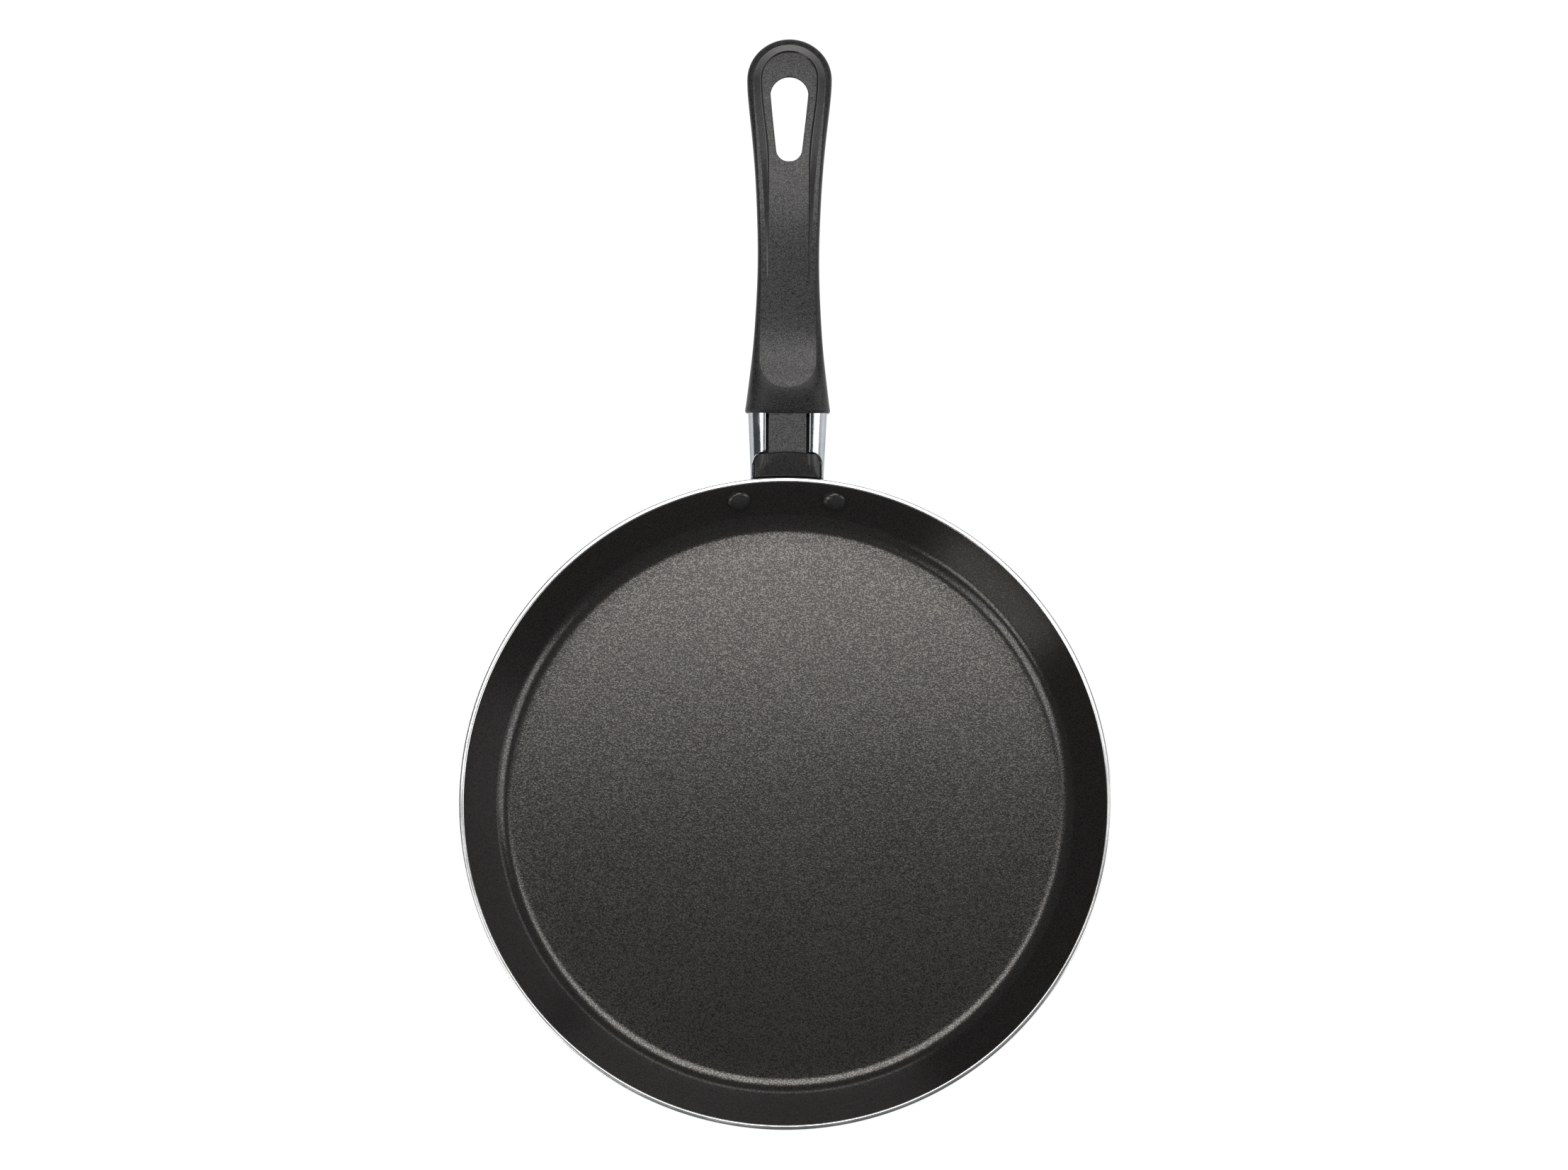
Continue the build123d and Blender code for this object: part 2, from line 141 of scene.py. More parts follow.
# Grip, with outlines as shares of its length and of a size
GRIP_LENGTH = 162.1
TIP_RADIUS = 18.3
GRIP_RISE = 16.1
UNDERSIDE_RISE = 24.2
COLLAR_THICKNESS = 22.6
COLLAR_STEP = 1.5
COLLAR_EDGE_INSET = 0.85
COLLAR_EDGE_LENGTH = 1.6
COLLAR_LEAN = 2.4
COLLAR_LEAN_LENGTH = 9.0
SOCKET_GAP = 0.12
HALF_WIDTH_SHARES = (
    (0.0, 1.016), (0.068, 0.940), (0.154, 0.848), (0.265, 0.770), (0.405, 0.724),
    (0.518, 0.746), (0.600, 0.781), (0.746, 0.890), (0.824, 0.965),
)
TOP_LINE_SHARES = (
    (0.0, 0.0), (0.049, 0.16), (0.111, 0.155), (0.167, 0.11), (0.228, 0.17), (0.296, 0.37),
    (0.364, 0.59), (0.457, 0.85), (0.568, 1.0), (0.734, 0.985), (0.857, 0.90), (1.02, 0.72),
)
UNDER_LINE_SHARES = (
    (0.0, 0.0), (0.062, 0.085), (0.111, 0.165), (0.167, 0.285), (0.253, 0.44), (0.364, 0.67),
    (0.457, 0.85), (0.568, 0.967), (0.734, 1.0), (0.857, 0.99), (1.02, 0.95),
)
# The section's widest line as a share of its height, and how squarely it turns over: at the collar, how much
# more along the grip, over what length, and on the underside
WIDEST_SHARE = 0.52
COLLAR_BOXINESS = 3.0
GRIP_BOXINESS_GAIN = 4.5
BOXINESS_RUN = 34.0
UNDER_BOXINESS = 2.5

# Panel, rail and hanging hole
PANEL_END_RADIUS = 12.3
PANEL_START = 10.4
PANEL_TIP_RADIUS = 15.6
PANEL_RECESS = 0.4
PANEL_CROWN = 0.25
PANEL_GAP = 0.04
PANEL_SHARES = ((0.285, 0.985), (0.405, 0.975), (0.518, 1.01), (0.600, 1.06), (0.746, 1.18))
GRIP_FLOOR = 3.0
RAIL_OUTER_RADIUS = 15.2
RAIL_INNER_RADIUS = 11.8
RAIL_START = 57.0
RAIL_LEG = 8.6
RAIL_POINT = 0.5
RAIL_POINT_LENGTH = 3.5
RAIL_POINT_SHARE = 0.05
RAIL_POINT_HEIGHT = 0.3
RAIL_OUTER_SHARES = ((0.430, 0.63), (0.642, 0.77), (0.750, 0.885))
RAIL_STRAIGHT_SHARE = 0.66
# The rail's height at its inner edge, at its start and past a run, its rise, and its fall to the outer edge,
# which turns into a rise round the tip
RAIL_HEIGHT = 0.75
RAIL_START_SHARE = 0.1
RAIL_GROW_LENGTH = 40.0
RAIL_RISE_SHARE = 0.2
RAIL_FALL = 0.95
RAIL_TIP_TURN = 1.45
RAIL_FOOT = 0.4
RAIL_LIFT = 0.02
HOLE_TOP_RADIUS = 8.15
HOLE_BOTTOM_RADIUS = 5.6
HOLE_TOP_PLACE = 136.2
HOLE_LENGTH = 37.4
HOLE_ROUND = 0.6
HOLE_DRAFT = 4.0
HOLE_LEAST = 0.5

# Screw under the grip
SCREW_PLACE = 18.5
SCREW_HEAD_RADIUS = 4.5
SCREW_HEAD_HEIGHT = 2.8
SCREW_HEAD_TAPER = 0.2
SCREW_HEAD_ROUND = 1.1
SCREW_SEAT_DEPTH = 7.0
SCREW_TURNS = 72
CROSS_LENGTH = 5.0
CROSS_WIDTH = 1.1
CROSS_DEPTH = 1.5
WASHER_RADIUS = 5.0
WASHER_BORE = 2.7
WASHER_THICKNESS = 1.0
WASHER_LIFT = 0.02
RECESS_CLEARANCE = 0.2
RECESS_OVERLAP = 3.0
RECESS_REACH = 24.0
BOSS_THICKNESS = 2.5

# Rounds up to this radius get only two steps
TINY_ROUND = 0.2

# Worked out
INNER_RIM_RADIUS = RIM_RADIUS - RIM_LAND
WALL_RUN = (INNER_RIM_RADIUS - FOOT_RADIUS) / (PAN_HEIGHT - FLOOR_THICKNESS)
WALL_ANGLE = atan(1 / WALL_RUN)
RIM_CORNER_RADIUS = RIM_RADIUS + RIM_OUTER_ROUND * (1 / tan(WALL_ANGLE / 2) - 1)
WALL_THICKNESS = (RIM_CORNER_RADIUS - INNER_RIM_RADIUS) * sin(WALL_ANGLE)
OUTER_FOOT_RADIUS = RIM_CORNER_RADIUS - PAN_HEIGHT * WALL_RUN
RIVET_HEIGHT = PAN_HEIGHT - RIVET_DROP
RIVET_SEAT_RADIUS = INNER_RIM_RADIUS - RIVET_DROP * WALL_RUN
RIVET_TURN = asin(RIVET_SPACING / 2 / RIVET_SEAT_RADIUS)
EAR_HALF_LENGTH = RIVET_SPACING / 2 + EAR_MARGIN
EAR_HALF_HEIGHT = EAR_HEIGHT / 2
EAR_RADIUS = RIVET_SEAT_RADIUS + WALL_THICKNESS * sin(WALL_ANGLE)
EAR_MIDDLE_HEIGHT = RIVET_HEIGHT - WALL_THICKNESS * cos(WALL_ANGLE)
WEDGE_FLOOR = AXIS_HEIGHT + 1.0
SLOT_HALF_WIDTH = TONGUE_WIDTH / 2 + TONGUE_GROOVE
TIP_CENTRE = GRIP_START + GRIP_LENGTH - TIP_RADIUS
PANEL_CENTRE = GRIP_START + PANEL_START + PANEL_END_RADIUS
PANEL_LOW = GRIP_START + PANEL_START
RAIL_LOW = GRIP_START + RAIL_START
RAIL_BEND = GRIP_START + RAIL_STRAIGHT_SHARE * GRIP_LENGTH
HOLE_TOP_CENTRE = GRIP_START + HOLE_TOP_PLACE
HOLE_BOTTOM_CENTRE = HOLE_TOP_CENTRE + HOLE_TOP_RADIUS - HOLE_LENGTH + HOLE_BOTTOM_RADIUS
HOLE_LEAN = asin((HOLE_TOP_RADIUS - HOLE_BOTTOM_RADIUS) / (HOLE_TOP_CENTRE - HOLE_BOTTOM_CENTRE))
RECESS_RADIUS = WASHER_RADIUS + RECESS_CLEARANCE


# Curves

class SmoothLine:
    """A smooth cubic line through knots, with free or given slopes at its ends."""

    def __init__(self, knots, start_slope=None, end_slope=None):
        self.places, self.values = np.array(knots, float).T
        self.steps = np.diff(self.places)
        rise = np.diff(self.values) / self.steps
        count = len(knots)
        a, b = np.zeros((count, count)), np.zeros(count)
        for i in range(1, count - 1):
            before, after = self.steps[i - 1], self.steps[i]
            a[i, i - 1 : i + 2] = after, 2 * (before + after), before
            b[i] = 3 * (after * rise[i - 1] + before * rise[i])
        for end, inner, slope in ((0, 1, start_slope), (-1, -2, end_slope)):
            if slope is None:
                a[end, end], a[end, inner], b[end] = 2, 1, 3 * rise[end]
            else:
                a[end, end], b[end] = 1, slope
        self.slopes = np.linalg.solve(a, b)

    def __call__(self, place):
        i = int(np.clip(np.searchsorted(self.places, place) - 1, 0, len(self.places) - 2))
        step = self.steps[i]
        t = (place - self.places[i]) / step
        left = (1 + 2 * t) * (1 - t) ** 2 * self.values[i] + t * (1 - t) ** 2 * step * self.slopes[i]
        right = t * t * (3 - 2 * t) * self.values[i + 1] + t * t * (t - 1) * step * self.slopes[i + 1]
        return left + right


def along(shares, size, base=0.0):
    """Knots from shares of the grip's length and of a size."""
    return [(GRIP_START + place * GRIP_LENGTH, base + share * size) for place, share in shares]


def clamp(value, low=0.0, high=1.0):
    return min(max(value, low), high)


def ease(share):
    """A share from 0 to 1, eased at both ends."""
    return share * share * (3 - 2 * share)


def quarter_round(share):
    """Drop of a rounded edge, as a share of its radius."""
    return 1 - sqrt(max(1 - (1 - share) ** 2, 0.0))


def bulge(share, power):
    """Height of a rounded box at a share of its half width, from 1 to 0."""
    return max(1 - min(share, 1.0) ** power, 0.0) ** (1 / power)


def axis_z(y):
    return AXIS_HEIGHT + (y - RIM_RADIUS) * tan(AXIS_SLOPE)


def ferrule_half(y):
    """Half width and half height of the ferrule's upright section at y."""
    share = (y - RIM_RADIUS) / (GRIP_START - RIM_RADIUS)
    width, height = (a + (b - a) * share for a, b in zip(FERRULE_PAN_SIZE, FERRULE_GRIP_SIZE))
    return width / 2, height / 2 / cos(AXIS_SLOPE)


def ferrule_top(y):
    return axis_z(y) + ferrule_half(y)[1]


COLLAR_TOP = ferrule_top(GRIP_START) + COLLAR_STEP
half_width = SmoothLine(along(HALF_WIDTH_SHARES, TIP_RADIUS) + [(TIP_CENTRE, TIP_RADIUS)], None, 0.0)
top_line = SmoothLine(along(TOP_LINE_SHARES, GRIP_RISE, COLLAR_TOP))
under_line = SmoothLine(along(UNDER_LINE_SHARES, UNDERSIDE_RISE, COLLAR_TOP - COLLAR_THICKNESS))
panel_upper = SmoothLine(
    [(PANEL_CENTRE, PANEL_END_RADIUS)]
    + along(PANEL_SHARES, PANEL_END_RADIUS)
    + [(TIP_CENTRE, PANEL_TIP_RADIUS)],
    0.0, 0.0,
)
rail_outer_line = SmoothLine(
    [(RAIL_LOW, RAIL_LEG + RAIL_POINT)]
    + along(RAIL_OUTER_SHARES, RAIL_OUTER_RADIUS)
    + [(TIP_CENTRE, RAIL_OUTER_RADIUS)],
    0.02, 0.0,
)
rail_inner_line = SmoothLine([(RAIL_BEND, RAIL_LEG), (TIP_CENTRE, RAIL_INNER_RADIUS)], 0.0, 0.0)


def panel_half(y):
    """Half width of the panel at y."""
    if y <= PANEL_LOW:
        return 0.0
    if y < PANEL_CENTRE:
        return sqrt(max(PANEL_END_RADIUS**2 - (PANEL_CENTRE - y) ** 2, 0.0))
    return panel_upper(y)


def rail_inner_half(y):
    return RAIL_LEG if y < RAIL_BEND else rail_inner_line(y)


def hole_half(y, draft):
    """Half width of the hanging hole at y, its upper end moved by a draft."""
    low = HOLE_BOTTOM_CENTRE - HOLE_BOTTOM_RADIUS * sin(HOLE_LEAN)
    high = HOLE_TOP_CENTRE + draft - HOLE_TOP_RADIUS * sin(HOLE_LEAN)
    if y <= HOLE_BOTTOM_CENTRE - HOLE_BOTTOM_RADIUS:
        return 0.0
    if y < low:
        return sqrt(max(HOLE_BOTTOM_RADIUS**2 - (y - HOLE_BOTTOM_CENTRE) ** 2, 0.0))
    if y > high:
        return sqrt(max(HOLE_TOP_RADIUS**2 - (y - HOLE_TOP_CENTRE - draft) ** 2, 0.0))
    low_half, high_half = HOLE_BOTTOM_RADIUS * cos(HOLE_LEAN), HOLE_TOP_RADIUS * cos(HOLE_LEAN)
    return low_half + (high_half - low_half) * (y - low) / (high - low)


# Rows across the grip: straight ones from the collar to the tip's centre, then a fan round the tip

class Row:
    """One line from the grip's middle outwards, with where it crosses each edge."""

    def __init__(self, y, turn=None):
        self.y, self.turn = y, turn
        if turn is None:
            self.edge = half_width(y)
            self.panel = panel_half(y)
            self.rail_out = rail_outer_line(y) if y > RAIL_LOW else None
            self.rail_in = rail_inner_half(y)
        else:
            self.edge, self.panel = TIP_RADIUS, PANEL_TIP_RADIUS
            self.rail_out, self.rail_in = RAIL_OUTER_RADIUS, RAIL_INNER_RADIUS
        self.hole, self.hole_low = self.drafted_hole(0.0), self.drafted_hole(HOLE_DRAFT)

    def drafted_hole(self, draft):
        """The hole's half width, or its reach in the fan, moved by a draft."""
        if self.turn is None:
            return hole_half(self.y, draft)
        offset = TIP_CENTRE - HOLE_TOP_CENTRE - draft
        rise = offset * sin(self.turn)
        return -rise + sqrt(rise**2 + HOLE_TOP_RADIUS**2 - offset**2)

    def hole_at(self, z):
        """The hole's half width at a height."""
        y = self.place(self.hole)[1]
        return self.drafted_hole(HOLE_DRAFT * clamp((top_line(y) - z) / (top_line(y) - under_line(y))))

    def rounding(self, distance):
        """Drop of the hole's rounded edge at a distance from its wall."""
        return HOLE_ROUND * quarter_round(clamp(distance / HOLE_ROUND)) if self.hole > HOLE_LEAST else 0.0

    def place(self, u):
        """Plan position at a distance u from the middle."""
        if self.turn is None:
            return u, self.y
        return u * cos(self.turn), TIP_CENTRE + u * sin(self.turn)

    def boxiness(self):
        """How squarely the top turns over into the flank."""
        return COLLAR_BOXINESS + GRIP_BOXINESS_GAIN * ease(clamp((self.y - GRIP_START) / BOXINESS_RUN))

    def heights(self, u):
        """Heights of the grip's top, widest and lowest lines at u."""
        y = self.place(u)[1]
        high, low = top_line(y), under_line(y)
        return high, low + (high - low) * WIDEST_SHARE, low

    def top(self, u):
        """Height of the smooth top of the grip at u."""
        high, middle, low = self.heights(u)
        return middle + (high - middle) * bulge(u / self.edge, self.boxiness())

    def under(self, u):
        """Height of the rounded underside at u."""
        high, middle, low = self.heights(u)
        return middle - (middle - low) * bulge(u / self.edge, UNDER_BOXINESS)

    def channel(self, u):
        """Height of the floor that the core lies on."""
        return under_line(self.place(u)[1]) + GRIP_FLOOR

    def face(self, u):
        """Height of the panel at u: below the sleeve's lip, slightly crowned."""
        lip = self.top(self.panel) + top_line(self.place(u)[1]) - top_line(self.place(self.panel)[1])
        crown = PANEL_CROWN * (1 - (u / max(self.panel, 0.01)) ** 2)
        return lip - PANEL_RECESS + crown * min(self.panel / PANEL_END_RADIUS, 1.0)


def turns(count):
    """Angles from none to a quarter turn."""
    return np.linspace(0, QUARTER, count)


def spaced(a, b, count):
    """Even places from a up to b, without b."""
    return list(np.linspace(a, b, count, endpoint=False))


def eased(a, b, count, from_start=True):
    """Places from a up to b, without b, closer together at one end."""
    t = np.linspace(0, QUARTER, count, endpoint=False)
    return list(a + (b - a) * (1 - np.cos(t) if from_start else np.sin(t)))


def stations():
    """Every row, closer together where the panel, the rail and the hole begin."""
    hole_low = HOLE_BOTTOM_CENTRE - HOLE_BOTTOM_RADIUS
    ys = spaced(GRIP_START, PANEL_LOW, 12)
    ys += eased(PANEL_LOW, PANEL_CENTRE, 22)
    ys += spaced(PANEL_CENTRE, RAIL_LOW, 36)
    ys += spaced(RAIL_LOW, hole_low, 50)
    ys += eased(hole_low, HOLE_BOTTOM_CENTRE, 14)
    ys += spaced(HOLE_BOTTOM_CENTRE, HOLE_TOP_CENTRE, 26)
    ys += eased(HOLE_TOP_CENTRE, TIP_CENTRE, 12, from_start=False)
    return [Row(y) for y in ys] + [Row(TIP_CENTRE, t) for t in turns(29)]


ROWS = stations()


# Mesh helpers

def add_object(name, points, faces, materials, crease=None, weld=WELD, face_material=None):
    """A mesh object from points in millimetres, smooth but for edges sharper than the crease."""
    mesh = bpy.data.meshes.new(name)
    mesh.from_pydata([tuple(c * MM for c in p) for p in points], [], faces)
    for material in materials:
        mesh.materials.append(material)
    if face_material is not None:
        mesh.polygons.foreach_set("material_index", face_material)
    bm = bmesh.new()
    bm.from_mesh(mesh)
    bmesh.ops.remove_doubles(bm, verts=bm.verts, dist=weld)
    bmesh.ops.dissolve_degenerate(bm, edges=bm.edges, dist=weld)
    bmesh.ops.recalc_face_normals(bm, faces=bm.faces)
    for face in bm.faces:
        face.smooth = True
    bm.to_mesh(mesh)
    bm.free()
    if crease:
        sharpen(mesh, crease)
    piece = linked(name, mesh)
    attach(piece, "root")
    return piece


def linked(name, data):
    """A new object in the scene."""
    made = bpy.data.objects.new(name, data)
    bpy.context.collection.objects.link(made)
    return made


def sharpen(mesh, degrees):
    """Keeps edges sharper than an angle crisp under smooth shading."""
    bm = bmesh.new()
    bm.from_mesh(mesh)
    for edge in bm.edges:
        if len(edge.link_faces) == 2 and edge.calc_face_angle(0.0) > radians(degrees):
            edge.smooth = False
    bm.to_mesh(mesh)
    bm.free()


def carve(piece, cutters, crease):
    """Cuts the cutters out of a piece and removes them."""
    for cutter in cutters:
        cut = piece.modifiers.new(cutter.name, "BOOLEAN")
        cut.operation, cut.object, cut.solver = "DIFFERENCE", cutter, "EXACT"
    shaped = piece.evaluated_get(bpy.context.evaluated_depsgraph_get())
    mesh = bpy.data.meshes.new_from_object(shaped)
    piece.modifiers.clear()
    piece.data = mesh
    for cutter in cutters:
        bpy.data.objects.remove(cutter)
    sharpen(mesh, crease)


def frame_matrix(x_axis, z_axis, origin):
    """A frame from two of its axes and its origin."""
    matrix = Matrix((x_axis, z_axis.cross(x_axis), z_axis)).transposed().to_4x4()
    matrix.translation = origin
    return matrix


def placed(matrix, points):
    return [tuple(matrix @ Vector(p)) for p in points]


def mirrored_grid(grid, closed):
    """Points and faces of a half grid and its mirror image in X."""
    rows, cols = len(grid), len(grid[0])
    points, faces = [], []
    for side in (1, -1):
        start = len(points)
        points += [(side * p[0], p[1], p[2]) for row in grid for p in row]
        for i in range(rows - 1):
            for j in range(cols if closed else cols - 1):
                k = (j + 1) % cols
                corners = [(i, j), (i + 1, j), (i + 1, k), (i, k)]
                if all(abs(grid[a][b][0]) < 1e-6 for a, b in corners):
                    continue
                cell = [start + a * cols + b for a, b in corners]
                faces.append(cell if side == 1 else cell[::-1])
    return points, faces


def grid_piece(name, grid, material, crease, closed=False):
    """A piece from a half grid and its mirror image."""
    points, faces = mirrored_grid(grid, closed)
    return add_object(name, points, faces, [material], crease)


def ring_faces(rings, count):
    """Faces between closed rings of count points each."""
    faces = []
    for i in range(rings - 1):
        for k in range(count):
            n = (k + 1) % count
            faces.append((i * count + k, i * count + n, (i + 1) * count + n, (i + 1) * count + k))
    return faces


def lathe(profile, count):
    """Points and faces for a profile of (radius, height) turned round Z."""
    angles = [2 * pi * k / count for k in range(count)]
    points = [(r * cos(t), r * sin(t), z) for r, z in profile for t in angles]
    return points, ring_faces(len(profile), count)


def rounded(corners, radii, arc_steps):
    """An open outline through corners, each rounded with its radius."""
    out = [corners[0]]
    for i in range(1, len(corners) - 1):
        p, q, r = (np.array(corners[k], float) for k in (i - 1, i, i + 1))
        if radii[i] <= 0:
            out.append(tuple(q))
            continue
        a, b = ((end - q) / np.linalg.norm(end - q) for end in (p, r))
        half = acos(np.clip(a @ b, -1, 1)) / 2
        centre = q + (a + b) / np.linalg.norm(a + b) * radii[i] / sin(half)
        start, end = q + a * radii[i] / tan(half), q + b * radii[i] / tan(half)
        u, v = start - centre, end - centre
        swing = acos(np.clip(u @ v / radii[i] ** 2, -1, 1))
        steps = arc_steps if radii[i] > TINY_ROUND else 2
        for t in np.linspace(0, 1, steps + 1):
            w = (sin((1 - t) * swing) * u + sin(t * swing) * v) / sin(swing)
            out.append(tuple(centre + w))
    out.append(corners[-1])
    return out


def densified(outline, longest, count_steps=ceil):
    """The same outline with its steps cut to about a longest length."""
    out = [outline[0]]
    for p, q in zip(outline, outline[1:]):
        n = max(1, count_steps(dist(p, q) / longest))
        out += [tuple(np.array(p) + (np.array(q) - np.array(p)) * t / n) for t in range(1, n + 1)]
    return out


# Materials

class Paint:
    """A material with short calls for its nodes."""

    def __init__(self, name, **values):
        self.material = bpy.data.materials.new(name)
        self.material.use_nodes = True
        self.tree = self.material.node_tree
        self.shader = self.tree.nodes["Principled BSDF"]
        for key, value in values.items():
            self.shader.inputs[key.replace("_", " ")].default_value = value
        self.place = self.node("ShaderNodeTexCoord").outputs["Object"]

    def node(self, kind, links=(), inputs=(), **settings):
        made = self.tree.nodes.new(kind)
        for key, value in settings.items():
            setattr(made, key, value)
        for key, value in dict(inputs).items():
            made.inputs[key].default_value = value
        for key, source in dict(links).items():
            self.tree.links.new(source, made.inputs[key])
        return made

    def ring(self, with_height):
        """Distance from the Z axis and, if asked, height as coordinates."""
        parts = self.node("ShaderNodeSeparateXYZ", {"Vector": self.place}).outputs
        flat = self.node("ShaderNodeCombineXYZ", {"X": parts["X"], "Y": parts["Y"]}).outputs[0]
        links = {"X": self.node("ShaderNodeVectorMath", {0: flat}, operation="LENGTH").outputs["Value"]}
        if with_height:
            links["Y"] = parts["Z"]
        return self.node("ShaderNodeCombineXYZ", links).outputs[0]

    def noise(self, scale, detail, roughness, place=None):
        values = {"Scale": scale, "Detail": detail, "Roughness": roughness}
        return self.node("ShaderNodeTexNoise", {"Vector": place or self.place}, values).outputs["Fac"]

    def ramp(self, source, low_value, high_value, low=0.3, high=0.7):
        values = {"From Min": low, "From Max": high, "To Min": low_value, "To Max": high_value}
        return self.node("ShaderNodeMapRange", {"Value": source}, values).outputs["Result"]

    def mix(self, share, colour_a, colour_b):
        made = self.node("ShaderNodeMix", {"Factor": share}, data_type="RGBA")
        for key, colour in ((6, colour_a), (7, colour_b)):
            if isinstance(colour, tuple):
                made.inputs[key].default_value = (*colour, 1.0)
            else:
                self.tree.links.new(colour, made.inputs[key])
        return made.outputs[2]

    def maths(self, operation, a, b):
        values = {0: a, 1: b}
        numbers = {key: value for key, value in values.items() if isinstance(value, float)}
        links = {key: value for key, value in values.items() if key not in numbers}
        return self.node("ShaderNodeMath", links, numbers, operation=operation).outputs[0]

    def blend(self, a, b, share):
        """Two values added, a with a share and b with the rest."""
        return self.maths("ADD", self.maths("MULTIPLY", a, share), self.maths("MULTIPLY", b, 1 - share))

    def finish(self, colour, rough, grain, depth, strength, **sources):
        """Wires the shader, with a grain of a depth in its surface."""
        values = {"Distance": depth, "Strength": strength}
        normal = self.node("ShaderNodeBump", {"Height": grain}, values).outputs["Normal"]
        sources.update(Base_Color=colour, Roughness=rough, Normal=normal)
        for key, source in sources.items():
            self.tree.links.new(source, self.shader.inputs[key.replace("_", " ")])
        return self.material


def coating():
    """Warm black non-stick coating with a fine mineral grain that shines."""
    paint = Paint("nonstick_coating", Specular_IOR_Level=0.5, IOR=1.5)
    grain, cloud = paint.noise(1650.0, 2.0, 0.6), paint.noise(9.0, 3.0, 0.5)
    mineral = paint.ramp(grain, 0.0, 1.0, 0.42, 0.61)
    colour = paint.mix(mineral, (0.0112, 0.0106, 0.0100), (0.122, 0.117, 0.112))
    rough = paint.maths("ADD", paint.ramp(grain, 0.15, 0.21), paint.ramp(cloud, -0.008, 0.012))
    return paint.finish(colour, rough, grain, 0.000035, 1.0, Metallic=mineral)


def bare_rim():
    """Polished bare aluminium with fine turning lines round the rim."""
    paint = Paint("bare_rim", Metallic=1.0)
    lines, wear = paint.noise(9000.0, 2.0, 0.6, paint.ring(True)), paint.noise(60.0, 3.0, 0.55)
    colour = paint.mix(paint.ramp(wear, 0.0, 1.0), (0.80, 0.81, 0.82), (0.90, 0.905, 0.91))
    rough = paint.maths("ADD", paint.ramp(lines, 0.12, 0.22), paint.ramp(wear, 0.0, 0.08))
    return paint.finish(colour, rough, lines, 0.000006, 0.6)


def outer_lacquer():
    """Satin black lacquer on the outside of the wall."""
    paint = Paint("outer_lacquer", Specular_IOR_Level=0.5, Coat_Weight=0.25, Coat_Roughness=0.18)
    peel, dust = paint.noise(340.0, 2.0, 0.5), paint.noise(1600.0, 2.0, 0.6)
    colour = paint.mix(paint.ramp(dust, 0.0, 1.0, 0.35), (0.010, 0.010, 0.0105), (0.022, 0.021, 0.021))
    return paint.finish(colour, paint.ramp(peel, 0.30, 0.42), peel, 0.00003, 0.5)


def turned_base():
    """Bare aluminium of the underside, turned in fine rings."""
    paint = Paint("turned_base", Metallic=1.0)
    lines, tarnish = paint.noise(2600.0, 3.0, 0.7, paint.ring(False)), paint.noise(22.0, 4.0, 0.6)
    colour = paint.mix(paint.ramp(tarnish, 0.0, 1.0, 0.35), (0.62, 0.62, 0.61), (0.50, 0.49, 0.47))
    rough = paint.maths("ADD", paint.ramp(lines, 0.26, 0.40), paint.ramp(tarnish, 0.0, 0.08))
    return paint.finish(colour, rough, lines, 0.00002, 0.8)


def plastic(name, dark, light, scale, depth, roughness, speck, shine, sparkle=0.0):
    """Black plastic or enamel with a fine grain, pale specks and a sparkle."""
    paint = Paint(name, Specular_IOR_Level=shine)
    grain = paint.blend(paint.noise(scale, 2.0, 0.6), paint.noise(scale * 0.3, 2.0, 0.5), 0.85)
    base = paint.mix(paint.ramp(grain, 0.0, 1.0, 0.40, 0.60), dark, light)
    specks = paint.ramp(paint.noise(scale * 1.3, 1.0, 0.5), 0.0, speck, 0.62, 0.75)
    colour = paint.mix(specks, base, tuple(min(c * 4, 1.0) for c in light))
    rough = paint.ramp(grain, roughness - 0.06, roughness + 0.06, 0.35, 0.65)
    rough = paint.maths("ADD", rough, paint.ramp(paint.noise(30.0, 3.0, 0.5), -0.02, 0.03))
    bright = paint.ramp(grain, 0.0, sparkle, 0.46, 0.60)
    return paint.finish(colour, rough, grain, depth, 0.9, Metallic=bright)


def chrome():
    """Bright plated sheet with fine lines along the handle, a mottle and handling marks."""
    paint = Paint("bright_plate", Metallic=1.0, Specular_Tint=(0.60, 0.62, 0.65, 1.0))
    stretch = paint.node("ShaderNodeMapping", {"Vector": paint.place}, {"Scale": (1.0, 0.05, 1.0)}).outputs[0]
    lines = paint.noise(2400.0, 2.0, 0.6, stretch)
    mottle, marks = paint.noise(1500.0, 3.0, 0.6), paint.noise(110.0, 4.0, 0.6)
    tone = paint.maths("ADD", *(paint.ramp(part, 0.0, 0.5, 0.35, 0.65) for part in (marks, mottle)))
    colour = paint.mix(tone, (0.40, 0.42, 0.45), (0.55, 0.57, 0.595))
    rough = paint.maths("ADD", paint.ramp(lines, 0.07, 0.13), paint.ramp(marks, 0.0, 0.10, 0.45, 0.75))
    return paint.finish(colour, rough, paint.blend(lines, mottle, 0.5), 0.000014, 0.6)


def steel():
    """Zinc-plated steel, finely brushed and slightly stained."""
    paint = Paint("plated_steel", Metallic=1.0)
    fine, stain = paint.noise(1500.0, 3.0, 0.6), paint.noise(260.0, 3.0, 0.6)
    colour = paint.mix(paint.ramp(stain, 0.0, 1.0, 0.35, 0.65), (0.60, 0.60, 0.58), (0.72, 0.72, 0.70))
    return paint.finish(colour, paint.ramp(fine, 0.22, 0.36), fine, 0.00001, 0.5)


